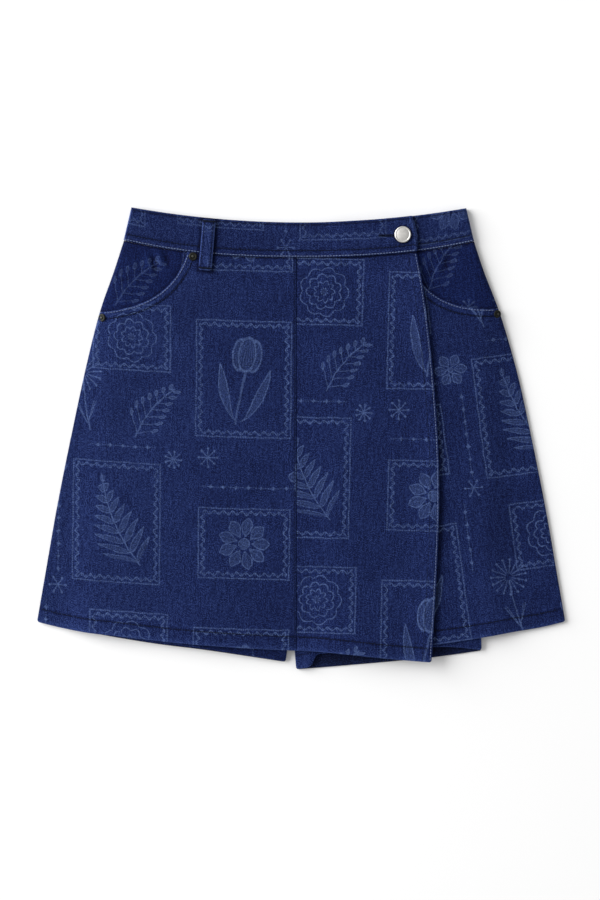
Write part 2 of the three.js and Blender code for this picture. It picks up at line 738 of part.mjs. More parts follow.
addPiece("back_panel", backPanel(), denim());
for (const [key, leg] of Object.entries(LEG)) {
  const plain = { edges: legEdges(leg, false), columns: 11, rows: 12, lie: lieShortsBack };
  const bowed = { edges: legEdges(leg, true), columns: frontColumns(leg), rows: 12, lie: lieShortsFront };
  addPiece(`shorts_${key}_back`, panel(plain), insideDenim());
  addPiece(`shorts_${key}_front`, panel(bowed), denim());
}

for (const [key, pocket] of Object.entries(POCKET)) {
  const rolled = pocket.side < 0 ? { left: true } : { right: true };
  const columns = columnsWith(8, pocket.side < 0 ? { left: 0.07 } : { right: 0.07 });
  const tableRows = [0, 0.12, 0.28, 0.46, 0.64, 0.82, 1];
  const facing = { edges: facingEdges(pocket), columns, lie: lieOnShorts, hem: false, rolled, tableRows };
  addPiece(`pocket_facing_${key}`, panel(facing), denim());
}

addPiece("front_left_panel", panel({
  edges: leftFrontEdges(),
  columns: columnsWith(18, { left: ROLL_SHARE }),
  rows: 17,
  lie: lieLeft,
  rolled: { left: true },
}), denim());

addPiece("front_right_panel", panel({
  edges: rightFrontEdges(),
  columns: columnsWith(14, { right: ROLL_SHARE }),
  rows: 17,
  lie: lieRight,
  rolled: { right: true },
}), denim());

addPiece("wrap_front_panel", panel({
  edges: wrapEdges(),
  columns: columnsWith(10, { right: 0.05 }),
  rows: 19,
  lie: lieWrap,
}), denim());

addPiece("waistband_back", band(leftBandEnd, rightBandEnd, 24, () => 0), bandDenim());
addPiece("waistband_underlap", band(hiddenBandEnd, rightBandEnd, 10, () => LIE_BAND), bandDenim());
addPiece("waistband_front", frontBand(), bandDenim());

addPiece("belt_loop", beltLoop(), bandDenim());
addPiece("button", shankButton(), nickel()).position.set(BUTTON.x, BUTTON.y, 0);
for (const rivet of RIVETS) {
  addPiece(rivet.name, rivetCap(), darkBrass()).position.set(rivet.x, rivet.y, rivetSeat(rivet));
}

export default skort;
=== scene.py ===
# %% [markdown]
# # A denim wrap skort, laid flat
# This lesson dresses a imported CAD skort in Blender: printed denim panels, a curved waistband, sewing thread,
# a shank button and rivets. The CAD model is the frame: every piece is made in the same place and at the
# same size as the solid that it stands for, so nothing has to be fitted afterwards.

# %% Load the frame
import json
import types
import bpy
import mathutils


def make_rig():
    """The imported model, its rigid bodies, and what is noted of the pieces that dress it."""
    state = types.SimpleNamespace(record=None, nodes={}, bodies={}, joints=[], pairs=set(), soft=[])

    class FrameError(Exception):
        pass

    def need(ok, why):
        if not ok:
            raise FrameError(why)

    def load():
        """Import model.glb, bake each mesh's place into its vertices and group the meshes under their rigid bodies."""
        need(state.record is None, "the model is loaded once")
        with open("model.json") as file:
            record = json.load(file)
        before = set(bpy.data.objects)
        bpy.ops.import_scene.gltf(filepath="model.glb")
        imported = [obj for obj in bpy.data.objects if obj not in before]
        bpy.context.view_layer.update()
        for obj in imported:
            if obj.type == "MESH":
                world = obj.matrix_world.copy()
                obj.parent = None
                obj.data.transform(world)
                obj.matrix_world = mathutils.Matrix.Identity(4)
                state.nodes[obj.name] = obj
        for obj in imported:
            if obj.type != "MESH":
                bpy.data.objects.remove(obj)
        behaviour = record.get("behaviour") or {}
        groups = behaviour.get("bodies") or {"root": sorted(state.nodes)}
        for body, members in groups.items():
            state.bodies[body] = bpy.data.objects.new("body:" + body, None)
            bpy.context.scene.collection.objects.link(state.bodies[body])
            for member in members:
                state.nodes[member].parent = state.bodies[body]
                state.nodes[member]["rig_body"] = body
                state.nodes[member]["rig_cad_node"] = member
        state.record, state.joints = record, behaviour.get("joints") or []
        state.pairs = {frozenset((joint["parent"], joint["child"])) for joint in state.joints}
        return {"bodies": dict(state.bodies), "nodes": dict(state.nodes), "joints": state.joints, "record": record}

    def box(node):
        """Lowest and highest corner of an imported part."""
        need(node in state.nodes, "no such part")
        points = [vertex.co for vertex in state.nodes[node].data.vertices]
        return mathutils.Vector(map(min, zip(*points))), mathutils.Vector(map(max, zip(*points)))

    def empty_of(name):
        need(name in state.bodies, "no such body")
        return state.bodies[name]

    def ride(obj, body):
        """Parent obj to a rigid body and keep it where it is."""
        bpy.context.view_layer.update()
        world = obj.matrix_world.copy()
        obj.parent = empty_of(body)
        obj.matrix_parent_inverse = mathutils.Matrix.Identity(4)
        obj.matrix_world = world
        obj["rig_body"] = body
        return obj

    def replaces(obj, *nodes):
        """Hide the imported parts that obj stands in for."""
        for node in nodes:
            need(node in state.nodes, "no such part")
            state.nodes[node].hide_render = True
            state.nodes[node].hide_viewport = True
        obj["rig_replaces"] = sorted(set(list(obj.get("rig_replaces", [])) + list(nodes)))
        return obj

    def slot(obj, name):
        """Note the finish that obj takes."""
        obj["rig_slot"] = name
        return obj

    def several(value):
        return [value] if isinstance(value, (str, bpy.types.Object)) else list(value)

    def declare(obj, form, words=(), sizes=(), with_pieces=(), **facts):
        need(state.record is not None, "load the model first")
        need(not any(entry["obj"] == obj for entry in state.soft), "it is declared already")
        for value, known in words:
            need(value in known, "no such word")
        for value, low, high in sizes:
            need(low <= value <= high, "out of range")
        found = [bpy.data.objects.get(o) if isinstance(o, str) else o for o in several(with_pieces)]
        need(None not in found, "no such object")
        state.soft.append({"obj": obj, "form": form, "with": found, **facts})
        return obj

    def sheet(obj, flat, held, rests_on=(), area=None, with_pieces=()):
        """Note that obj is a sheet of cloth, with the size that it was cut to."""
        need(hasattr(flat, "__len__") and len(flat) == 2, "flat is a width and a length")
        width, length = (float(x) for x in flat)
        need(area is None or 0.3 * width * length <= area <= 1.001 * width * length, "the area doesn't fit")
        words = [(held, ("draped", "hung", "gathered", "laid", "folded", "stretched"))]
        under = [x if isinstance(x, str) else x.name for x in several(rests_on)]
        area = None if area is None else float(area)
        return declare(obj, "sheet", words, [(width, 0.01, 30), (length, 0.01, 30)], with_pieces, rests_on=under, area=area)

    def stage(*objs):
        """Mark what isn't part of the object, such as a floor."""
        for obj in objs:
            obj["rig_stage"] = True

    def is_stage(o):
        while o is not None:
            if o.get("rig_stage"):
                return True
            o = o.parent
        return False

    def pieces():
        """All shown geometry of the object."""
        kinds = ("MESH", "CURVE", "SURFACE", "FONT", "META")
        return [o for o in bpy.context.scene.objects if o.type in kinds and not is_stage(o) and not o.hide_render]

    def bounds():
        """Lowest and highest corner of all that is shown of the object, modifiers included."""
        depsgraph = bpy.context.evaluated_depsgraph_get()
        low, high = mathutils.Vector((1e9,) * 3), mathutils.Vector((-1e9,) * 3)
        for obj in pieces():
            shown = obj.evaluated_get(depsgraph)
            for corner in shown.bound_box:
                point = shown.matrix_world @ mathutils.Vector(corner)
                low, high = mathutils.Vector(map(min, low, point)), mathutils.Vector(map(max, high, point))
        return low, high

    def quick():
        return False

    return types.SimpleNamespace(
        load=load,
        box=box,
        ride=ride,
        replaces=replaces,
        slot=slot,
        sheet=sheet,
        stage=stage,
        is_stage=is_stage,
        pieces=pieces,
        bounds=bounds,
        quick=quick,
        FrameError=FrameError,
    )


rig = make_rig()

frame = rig.load()

import json
import math
import random

import bmesh
import bpy
from mathutils import Matrix, Vector, noise
from mathutils.bvhtree import BVHTree

cad_low, cad_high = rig.bounds()
print("frame size in metres:", [round(b - a, 4) for a, b in zip(cad_low, cad_high)])

# %% [markdown]
# ## Sizes
# Pattern cutters work in millimetres, so the garment's sizes are in millimetres here, and one factor turns
# them into Blender's metres when a mesh is made. The outlines are short tables with one row for each place
# where a maker would measure, and a smooth curve runs through the rows. They could be typed as long lists of
# points instead, but a short table can still be read and changed.

# %% Sizes of the cloth and its layers
MM = 0.001
CLOTH = 1.1             # one layer of denim
SEAM_GAP = 0.3          # between pieces that are sewn together
AIR = 0.7               # between layers that lie on each other
AIR_REACH = 34
HEM_DEPTH = 15
HEM_EXTRA = 0.6
HEM_STEP = 3
RAMP = 40               # a layer comes down over this distance past the edge under it
RAMP_START = 4

BAND_THICKNESS = 3.0
WAIST_HALF = 173
SEAM_HALF = 181
LEAN = -2.4             # how far the top has swung sideways
LEAN_FROM_Y, LEAN_OVER = 40, 150
BAND_HEIGHT = 36.3
BAND_TOP_MIDDLE = 223.2
BAND_TOP_RISE = 15.2
SEAM_MIDDLE = BAND_TOP_MIDDLE - BAND_HEIGHT
SEAM_RISE = 17.3
SEAM_POWER = 2.45

CENTRE_SEAM_X = -4.7
CENTRE_BACK_X = -9.3
CROTCH_Y = -176
HIDDEN_INSET = 1.6
UNDERLAP_BAND_END_X = 60
UNDERLAP_HEM_END_X = 44
FACING_DEPTH = 17
LEG_BOW = 2.6
BOW_FROM_Y, BOW_OVER = -150, 66
WRAP_LIFT = 1.8
WRAP_LIFT_REACH = 34
BACK_HEM_MIDDLE, BACK_HEM_RISE, BACK_HEM_HALF, BACK_HEM_POWER = -212.5, 23, 272, 2.2
BACK_CORNER_Y = -189

# %% Outlines as tables: each row is (place, value), from the lowest place to the highest
SIDE_SEAM = [(-188.0, 273.0), (-136.0, 264.0), (-74.0, 253.2), (9.0, 236.6), (71.0, 223.0), (133.0, 206.0),
             (174.0, 191.0), (204.5, 181.0)]
FRONT_HEM = [(-273, -189.6), (-250, -195.2), (-218, -200.8), (-197, -203.0), (-166, -206.7), (-135, -210.3),
             (-104, -213.0), (-61, -216.2), (-13, -218.7), (20, -220.1), (50, -222.8), (81, -226.1),
             (112, -229.0), (134, -230.6)]
UNDERLAP_HEM = [(44, -216.4), (135, -213.0), (188, -205.4), (216, -200.5), (247, -195.4), (273, -189.4)]
WRAP_EDGE = [(-231.4, 134.0), (-116, 140.8), (-64, 142.3), (-12, 141.4), (69, 135.7), (125, 129.5),
             (162, 124.3), (193, 118.9)]
LEFT_LEG = {
    "side": -1,
    "waist_x": -171,
    "outer": (-214, -201.6),
    "inner_x": -16.2,
    "hem": [(-214, -201.6), (-186, -206.6), (-146, -212.9), (-104, -218.1), (-16.2, -231.3)],
    "front_rise": [(-214, 0.8), (-115, 1.6), (-16.2, 0.8)],
}
RIGHT_LEG = {
    "side": 1,
    "waist_x": 171,
    "outer": (186.6, -219.2),
    "inner_x": -5.2,
    "hem": [(-5.2, -239.0), (41, -235.2), (135, -226.6), (186.6, -219.4)],
    "front_rise": [(-5.2, 0.8), (2, 0.9), (8, 1.9), (12, 5.4), (14, 10.5), (16, 13.4), (24, 14.5), (60, 14),
                   (150, 9.4), (186.6, 0.8)],
}
LEFT_POCKET = {"side": -1, "top_x": 117.4, "end_y": 130.5, "top_pull": (10.8, -38.4), "end_pull": (-50, 3.1)}
RIGHT_POCKET = {"side": 1, "top_x": 110.0, "end_y": 134.4, "top_pull": (10.0, -44.0),
                "end_pull": (-48, -4.4)}
# Broad soft folds from the hip to the hem: x at the top, x at the hem, y at the top, width and height.
FOLDS = [(-150, -206, 70, 50, 1.9), (-70, -104, 0, 44, 1.3), (44, 58, -20, 52, 1.5), (172, 214, 60, 44, 1.9)]
FOLD_HEM_Y = -225


# %% Curves through the tables
def clamp01(value):
    return min(1.0, max(0.0, value))


def mix(a, b, share):
    return a + (b - a) * share


def smooth(value):
    share = clamp01(value)
    return share * share * (3 - 2 * share)


def read_table(rows, at):
    """The value at a place on the smooth curve through a table's rows."""
    last = len(rows) - 1
    at = min(rows[last][0], max(rows[0][0], at))
    i = 0
    while i < last - 1 and at > rows[i + 1][0]:
        i += 1

    def slope(a, b):
        return (rows[b][1] - rows[a][1]) / (rows[b][0] - rows[a][0])

    span = rows[i + 1][0] - rows[i][0]
    here = slope(i, i + 1)
    before = (slope(i - 1, i) + here) / 2 if i > 0 else here
    after = (slope(i + 1, i + 2) + here) / 2 if i + 1 < last else here
    f = (at - rows[i][0]) / span
    return ((2 * f ** 3 - 3 * f ** 2 + 1) * rows[i][1] + (f ** 3 - 2 * f ** 2 + f) * span * before
            + (3 * f ** 2 - 2 * f ** 3) * rows[i + 1][1] + (f ** 3 - f ** 2) * span * after)


def waist_seam_y(x):
    return SEAM_MIDDLE + SEAM_RISE * (abs(x) / SEAM_HALF) ** SEAM_POWER


def band_top_y(x):
    return BAND_TOP_MIDDLE + BAND_TOP_RISE * (x / WAIST_HALF) ** 2


def side_x(side, y):
    return side * read_table(SIDE_SEAM, y) + LEAN * smooth((y - LEAN_FROM_Y) / LEAN_OVER)


def front_hem_y(x):
    return read_table(FRONT_HEM, x)


def underlap_hem_y(x):
    return read_table(UNDERLAP_HEM, x)


def wrap_edge_x(y):
    return read_table(WRAP_EDGE, y)


def back_hem_y(x):
    return BACK_HEM_MIDDLE + BACK_HEM_RISE * (abs(x) / BACK_HEM_HALF) ** BACK_HEM_POWER


# %% The pocket's edge
def pocket_point(pocket, f, drop=0.0):
    """A point on the pocket's edge, or `drop` millimetres below it on the garment."""
    top = Vector((pocket["top_x"], waist_seam_y(pocket["top_x"])))
    end = Vector((pocket["side"] * side_x(pocket["side"], pocket["end_y"]), pocket["end_y"]))
    a = top + Vector(pocket["top_pull"])
    b = end + Vector(pocket["end_pull"])
    g = 1 - f
    at = g ** 3 * top + 3 * g * g * f * a + 3 * g * f * f * b + f ** 3 * end
    way = (g * g * (a - top) + 2 * g * f * (b - a) + f * f * (end - b)).normalized()
    return (pocket["side"] * (at.x + way.y * drop), at.y - way.x * drop)


POCKET_STEPS = 40
for pocket in (LEFT_POCKET, RIGHT_POCKET):
    pocket["trace"] = [Vector(pocket_point(pocket, k / POCKET_STEPS)) for k in range(POCKET_STEPS + 1)]


def pocket_distance(pocket, x, y):
    """Distance from the pocket's edge, to the nearest of its short straight stretches."""
    trace = pocket["trace"]
    at = Vector((x, y))
    near = min(range(len(trace)), key=lambda k: (trace[k] - at).length_squared)
    best = 1e9
    for a, b in ((max(near - 1, 0), near), (near, min(near + 1, POCKET_STEPS))):
        way = trace[b] - trace[a]
        if way.length_squared > 0:
            share = clamp01((at - trace[a]).dot(way) / way.length_squared)
            best = min(best, (trace[a] + way * share - at).length)
    return best


print("waist", round(2 * WAIST_HALF), "mm, widest", round(2 * SIDE_SEAM[0][1]), "mm across")

# %% [markdown]
# ## How the layers lie
# A flat garment is a stack: the skirt's back, two layers of each short leg, the underlap, and the wrap on
# top. Each layer's height is what lies under it plus a little air, and it comes down in a soft ramp past the
# edge of the layer below. A cloth simulation could settle the stack too, but it would move the outlines. The
# same few height functions serve every piece, so no piece cuts into another.


# %% Heights of the layers
def layer(x, y):
    return CLOTH + mix(SEAM_GAP, AIR, smooth((waist_seam_y(x) - y) / AIR_REACH))


def coverage(outside):
    return 1 - smooth((outside - RAMP_START) / RAMP)


def leg_at(x):
    return LEFT_LEG if x < CENTRE_BACK_X else RIGHT_LEG


def leg_side_x(leg, y):
    top = waist_seam_y(leg["waist_x"])
    return mix(leg["waist_x"], leg["outer"][0], clamp01((top - y) / (top - leg["outer"][1])))


def shorts_cover(x, y):
    leg = leg_at(x)
    return coverage((x - leg_side_x(leg, y)) * leg["side"])


def leg_bow(x, y):
    across = clamp01((x - CENTRE_BACK_X) / (leg_side_x(leg_at(x), y) - CENTRE_BACK_X))
    return LEG_BOW * math.sin(math.pi * across) ** 0.8 * smooth((BOW_FROM_Y - y) / BOW_OVER)


def leg_hem_rise(x, y):
    return HEM_EXTRA * smooth((read_table(leg_at(x)["hem"], x) + HEM_DEPTH + 22 - y) / 20)


def facing_cover(pocket, x, y):
    if x * pocket["side"] < 0:
        return 0.0
    return coverage(pocket_distance(pocket, x, y) - FACING_DEPTH)


def fold(x, y):
    rise = 0.0
    for top_x, hem_x, start, width, height in FOLDS:
        down = clamp01((start - y) / (start - FOLD_HEM_Y))
        across = (x - mix(top_x, hem_x, down)) / width
        if abs(across) < 1:
            rise += height * smooth(down) * math.cos(across * math.pi / 2) ** 2
    return rise


def wrap_lift(x, y):
    inside = wrap_edge_x(y) - x
    return WRAP_LIFT * smooth((waist_seam_y(x) - y) / AIR_REACH) * (1 - smooth(inside / WRAP_LIFT_REACH))


def lie_back(x, y):
    return 0.0


def lie_shorts_back(x, y):
    return layer(x, y) * (1 - smooth((back_hem_y(x) - y) / (RAMP / 2)))


def lie_shorts_front(x, y):
    return lie_shorts_back(x, y) + layer(x, y) + leg_hem_rise(x, y) + leg_bow(x, y)


def lie_on_shorts(x, y):
    depth = 2 * layer(x, y) + 2 * leg_hem_rise(x, y) + leg_bow(x, y)
    return layer(x, y) + depth * shorts_cover(x, y)


def lie_front(pocket):
    return lambda x, y: lie_on_shorts(x, y) + layer(x, y) * facing_cover(pocket, x, y) + fold(x, y)


lie_left, lie_right = lie_front(LEFT_POCKET), lie_front(RIGHT_POCKET)


def underlap_hem_rise(x, y):
    return HEM_EXTRA * smooth((underlap_hem_y(x) + HEM_DEPTH + 24 - y) / 20)


def lie_wrap(x, y):
    underlap = (layer(x, y) + underlap_hem_rise(x, y)) * coverage(UNDERLAP_HEM_END_X - x)
    return lie_right(x, y) + underlap + wrap_lift(x, y)


LIE_BAND = BAND_THICKNESS + SEAM_GAP


def lie_underlap_band(x, y):
    return LIE_BAND


def lie_front_band(x, y):
    return LIE_BAND + LIE_BAND * coverage(UNDERLAP_BAND_END_X - x)


print("the wrap's corner lies", round(lie_wrap(130, -225), 1), "mm off the surface")

# %% [markdown]
# ## A panel of cloth
# A panel has four edges, and every point inside is a blend of them, which is called a Coons patch. The mesh
# starts as a flat grid from `create_grid`. Its columns and rows stand close together along the edges, where
# seams, stitches and turned hems need detail, and further apart in the middle. Each grid point moves to its
# place on the patch, and a UV map keeps where it lay on the flat cloth, because the weave and the print
# follow the cloth and not the garment. Solidify then gives the sheet its thickness, and Bevel rounds its rim.

# %% Where the grid's lines stand
STEP = 5.0 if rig.quick() else 2.3
FINE = (0, 0.45, 1.0, 1.7, 2.5, 3.5, 4.8, 6.3, 8.0)
HEM_LINES = FINE + (9.8, 11.6, 13.0, 14.0, 15.0, 16.0, 17.2, 18.6, 20.4)
CORNER_RADIUS = 2.6


def lines(length, step, near_start=FINE, near_end=FINE):
    """Distances from 0 to length, close together at both ends."""
    first, last = near_start[-1], length - near_end[-1]
    count = max(1, round((last - first) / step))
    inner = [mix(first, last, (k + 1) / count) for k in range(count - 1)]
    return list(near_start) + inner + [length - d for d in reversed(near_end)]


def edge_length(edge, steps=40):
    points = [Vector(edge(k / steps)) for k in range(steps + 1)]
    return sum((b - a).length for a, b in zip(points, points[1:]))


def round_corner(a, b, radius):
    """Distances a and b from two edges, pulled in so that the corner between them is round."""
    if a >= radius or b >= radius:
        return a, b
    p, q = radius - a, radius - b
    shrink = max(p, q) / max(math.hypot(p, q), 1e-9)
    return radius - p * shrink, radius - q * shrink


# %% A point of a panel, and the panel itself
class Spot:
    """A point of a panel: x and y on the garment, and its distance from each edge."""

    def __init__(self, x, y, left, right, top, bottom):
        self.x, self.y = x, y
        self.left, self.right, self.top, self.bottom = left, right, top, bottom


class Panel:
    """Cloth between four edges, with the height of its underside and a relief of its own."""

    def __init__(self, name, edges, lie, relief, thickness=CLOTH, roll=None, top_distance=None):
        self.name, self.edges, self.lie, self.relief = name, edges, lie, relief
        self.thickness, self.roll, self.top_distance = thickness, roll, top_distance
        self.corners = (edges["top"](0), edges["top"](1), edges["bottom"](0), edges["bottom"](1))
        self.width = edge_length(edges["bottom"])
        self.height = max(edge_length(edges["left"]), edge_length(edges["right"]))

    def place(self, s, t):
        """The Coons patch: s runs from left to right, and t from top to bottom."""
        top, bottom = self.edges["top"](s), self.edges["bottom"](s)
        left, right = self.edges["left"](t), self.edges["right"](t)
        a, b, c, d = self.corners
        return [mix(top[k], bottom[k], t) + mix(left[k], right[k], s)
                - mix(mix(a[k], b[k], s), mix(c[k], d[k], s), t) for k in (0, 1)]

    def column_length(self, s):
        return (Vector(self.edges["bottom"](s)) - Vector(self.edges["top"](s))).length

    def spot(self, across, down, length):
        x, y = self.place(across / self.width, down / length)
        top = self.top_distance(x, y) if self.top_distance else down
        return Spot(x, y, across, self.width - across, top, length - down)

    def height_at(self, spot):
        """Height of the outer face."""
        top = self.lie(spot.x, spot.y) + self.thickness + self.relief(spot)
        if self.roll:
            side, low, width = self.roll
            inside = clamp01(getattr(spot, side) / width)
            top = mix(low, top, math.sqrt(1 - (1 - inside) ** 2))
        return top

    def flat_area(self, steps=48):
        """Area of the panel's outline, in square metres."""
        way = [k / steps for k in range(steps)]
        ring = [self.edges["top"](f) for f in way] + [self.edges["right"](f) for f in way]
        ring += [self.edges["bottom"](1 - f) for f in way] + [self.edges["left"](1 - f) for f in way]
        turns = zip(ring, ring[1:] + ring[:1])
        return abs(sum(a[0] * b[1] - b[0] * a[1] for a, b in turns)) / 2 * MM * MM


# %% Put a finished piece in the scene
pieces = {}
cloth_tops = {}
cloth_panels = {}


def new_object(name, bm):
    mesh = bpy.data.meshes.new(name)
    bm.to_mesh(mesh)
    bm.free()
    for polygon in mesh.polygons:
        polygon.use_smooth = True
    obj = bpy.data.objects.new(name, mesh)
    bpy.context.scene.collection.objects.link(obj)
    return obj


def dress(obj, material, slot, *nodes):
    """Gives a piece its material and body, and names the nodes that it stands for."""
    obj.data.materials.clear()
    obj.data.materials.append(material)
    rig.ride(obj, "root")
    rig.slot(obj, slot)
    if nodes:
        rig.replaces(obj, *nodes)
    pieces[obj.name] = obj


# %% Make a panel's mesh
def column_lines(panel, step=STEP, breaks=(), near_left=FINE, near_right=FINE):
    """Distances across a panel, with one exactly at each break in its upper edge."""
    marks = [0.0] + [share * panel.width for share in breaks] + [panel.width]
    result = [0.0]
    for k, (start, end) in enumerate(zip(marks, marks[1:])):
        first = near_left if k == 0 else (0, step)
        last = near_right if k == len(marks) - 2 else (0, step)
        result += [start + d for d in lines(end - start, step, first, last)[1:]]
    return result


RIM_WIDTH, RIM_SHARE, RIM_ANGLE = 0.32, 0.4, 50


def make_panel(panel, columns, rows, shell, hem_shell=0.0, rounded=(), cloth_uv=None, wear=None,
               keep=None):
    """rows: lines near the top, the step between, and lines near the bottom. shell: how thick it is."""
    near_top, step, near_bottom = rows
    count = len(lines(panel.height, step, near_top, near_bottom))
    across = len(columns)
    inner_rows = count - len(near_top) - len(near_bottom)
    bm = bmesh.new()
    bmesh.ops.create_grid(bm, x_segments=across - 1, y_segments=count - 1, size=0.5)
    # The per-point attribute holds pale worn edges together with painted shade and painted highlights.
    wear_and_shade_layer = bm.verts.layers.float.new("wear")
    group = bm.verts.layers.deform.verify()
    thickest = max(shell, hem_shell)
    cloth_at = {}
    for vert in bm.verts:
        i = round((vert.co.x + 0.5) * (across - 1))
        j = round((0.5 - vert.co.y) * (count - 1))
        left = columns[i]
        length = panel.column_length(left / panel.width)
        if j < len(near_top):
            down = near_top[j]
        elif j >= count - len(near_bottom):
            down = length - near_bottom[count - 1 - j]
        else:
            share = (j - len(near_top) + 1) / (inner_rows + 1)
            down = mix(near_top[-1], length - near_bottom[-1], share)
        for corner in rounded:
            a = left if "left" in corner else panel.width - left
            b = down if "top" in corner else length - down
            a, b = round_corner(a, b, CORNER_RADIUS)
            left = a if "left" in corner else panel.width - a
            down = b if "top" in corner else length - b
        spot = panel.spot(left, down, length)
        vert.co = Vector((spot.x, spot.y, panel.height_at(spot))) * MM
        vert[wear_and_shade_layer] = wear(spot) if wear else 0.0
        hem = 1 - smooth((spot.bottom - HEM_DEPTH) / HEM_STEP) if hem_shell else 0.0
        vert[group][0] = mix(shell, hem_shell, hem) / thickest
        cloth_at[vert] = cloth_uv(spot) if cloth_uv else (spot.x, spot.y)
    uv = bm.loops.layers.uv.new("cloth")
    for face in bm.faces:
        for loop in face.loops:
            loop[uv].uv = Vector(cloth_at[loop.vert]) * MM
    if keep:
        holes = [face for face in bm.faces if not keep(face.calc_center_median() / MM)]
        bmesh.ops.delete(bm, geom=holes, context="FACES")
    cloth_tops[panel.name] = BVHTree.FromBMesh(bm)
    obj = new_object(panel.name, bm)
    obj.vertex_groups.new(name="thickness")
    solidify = obj.modifiers.new("cloth thickness", "SOLIDIFY")
    solidify.thickness = thickest * MM
    solidify.vertex_group = "thickness"
    solidify.offset = -1
    rim = obj.modifiers.new("rounded rim", "BEVEL")
    rim.width = min(RIM_WIDTH, shell * RIM_SHARE) * MM
    rim.segments = 2
    rim.limit_method = "ANGLE"
    rim.angle_limit = math.radians(RIM_ANGLE)
    cloth_panels[panel.name] = (panel, obj)
    print(panel.name, across, "x", count, "points,", round(panel.flat_area(), 4), "square metres")
    return obj


# %% [markdown]
# ## Relief of sewn cloth
# Cloth that is laid flat is never quite flat. Denim keeps broad soft waves, a seam pulls small puckers into
# it, a turned hem is thicker and twists into slanted ropes, and every row of stitches draws a groove.
# Sculpted detail or a displacement texture could do this, but here each is a short formula on a point's
# distance from the panel's edges, so it lands exactly where the sewing is.


# %% Waves, puckers, grooves and ropes
def wave(x, y, length, seed=0.0):
    return noise.noise(Vector((x / length, y / length, seed)))


def groove(distance, row, depth=0.24, width=0.75):
    return -depth * math.exp(-((distance - row) / width) ** 2)


def rim_drop(distance, depth=0.4, width=2.0):
    """The cloth turns down at its very edge."""
    return -depth * (1 - smooth(distance / width)) ** 2


def puckers(distance, along, seed, height=0.26, length=6.5, reach=12.0):
    return height * wave(along, distance * 0.35, length, seed) * math.exp(-distance / reach)


def raised_edge(distance, width, height, step=1.6):
    """A second layer of cloth behind the edge."""
    return height * (1 - smooth((distance - width) / step))


# Waves of cloth at rest: height, length, and a shift of the seed.
REST_WAVES = [(0.34, 74, 0), (0.13, 27, 5), (0.05, 11, 9)]


def rest_waves(x, y, seed):
    return sum(height * wave(x, y, length, seed + shift) for height, length, shift in REST_WAVES)


HEM_ROW = HEM_DEPTH - 0.8
HEM_REACH = HEM_DEPTH + 22
ROPE_LENGTH = 9.0


def hem_relief(bottom, along, seed):
    if bottom > HEM_REACH:
        return 0.0
    turned = HEM_EXTRA * (1 - smooth((bottom - HEM_DEPTH) / HEM_STEP))
    within = smooth(bottom / 4) * (1 - smooth((bottom - 9) / 5))
    lean = along + bottom * 0.9 + 3.0 * wave(along, 0, 31, seed)
    uneven = 0.6 + 0.8 * wave(along, 3, 40, seed + 2)
    rope = 0.17 * within * math.sin(lean * 2 * math.pi / ROPE_LENGTH) * uneven
    above = puckers(bottom - HEM_DEPTH, along, seed + 3, 0.24, 7.0, 10.0) if bottom > HEM_DEPTH else 0
    return turned + rope + above + groove(bottom, HEM_ROW, 0.3) + rim_drop(bottom, 0.35)


# %% [markdown]
# ## Numbers that flow through nodes
# Cycles runs a shader's nodes for every point that it draws, so a pattern made of Math nodes stays sharp at
# any zoom and needs no image. Adding those nodes one by one takes many lines. A small class called Wire hides
# that: it stands for one number in a node tree, and Python's own + - * / on wires add the nodes.


# %% Wires
class Wire:
    """A number in a node tree."""

    def __init__(self, tree, socket):
        self.tree, self.socket = tree, socket

    def math(self, operation, *others, clamp=False):
        node = self.tree.nodes.new("ShaderNodeMath")
        node.operation = operation
        node.use_clamp = clamp
        for slot, value in zip(node.inputs, (self, *others)):
            feed(self.tree, slot, value)
        return Wire(self.tree, node.outputs[0])

    def __add__(self, other):
        return self.math("ADD", other)

    def __sub__(self, other):
        return self.math("SUBTRACT", other)

    def __mul__(self, other):
        return self.math("MULTIPLY", other)

    def __truediv__(self, other):
        return self.math("DIVIDE", other)

    def __abs__(self):
        return self.math("ABSOLUTE")

    def __neg__(self):
        return self * -1.0

    def root(self):
        return self.math("SQRT")

    def least(self, other):
        return self.math("MINIMUM", other)

    def most(self, other):
        return self.math("MAXIMUM", other)

    def wrap(self, half):
        """The number brought into the range from -half to half, by whole turns."""
        return self.math("WRAP", half, -half)

    def ramp(self, low, high):
        """0 below low, 1 above high, and straight between."""
        return self.math("MULTIPLY_ADD", 1 / (high - low), -low / (high - low), clamp=True)


def feed(tree, slot, value):
    if isinstance(value, Wire):
        tree.links.new(value.socket, slot)
    elif isinstance(value, bpy.types.NodeSocket):
        tree.links.new(value, slot)
    else:
        slot.default_value = value


def feed_all(tree, slots, values):
    for key, value in values.items():
        feed(tree, slots[key], value)


def add_node(tree, kind, inputs=None, **settings):
    node = tree.nodes.new(kind)
    for key, value in settings.items():
        setattr(node, key, value)
    feed_all(tree, node.inputs, inputs or {})
    return node


def noise_at(tree, vector, scale, detail=2.0, roughness=0.55, distortion=0.0):
    inputs = {"Vector": vector, "Scale": scale, "Detail": detail, "Roughness": roughness,
              "Distortion": distortion}
    return Wire(tree, add_node(tree, "ShaderNodeTexNoise", inputs).outputs["Fac"])


def new_group(name, inputs, outputs):
    """A node group with named float inputs (with values) and outputs, and a vector called Cloth."""
    tree = bpy.data.node_groups.new(name, "ShaderNodeTree")
    tree.interface.new_socket("Cloth", in_out="INPUT", socket_type="NodeSocketVector")
    for key, value in inputs.items():
        socket = tree.interface.new_socket(key, in_out="INPUT", socket_type="NodeSocketFloat")
        socket.default_value = value
    for key in outputs:
        tree.interface.new_socket(key, in_out="OUTPUT", socket_type="NodeSocketFloat")
    start = tree.nodes.new("NodeGroupInput")
    end = tree.nodes.new("NodeGroupOutput")
    return tree, start, end


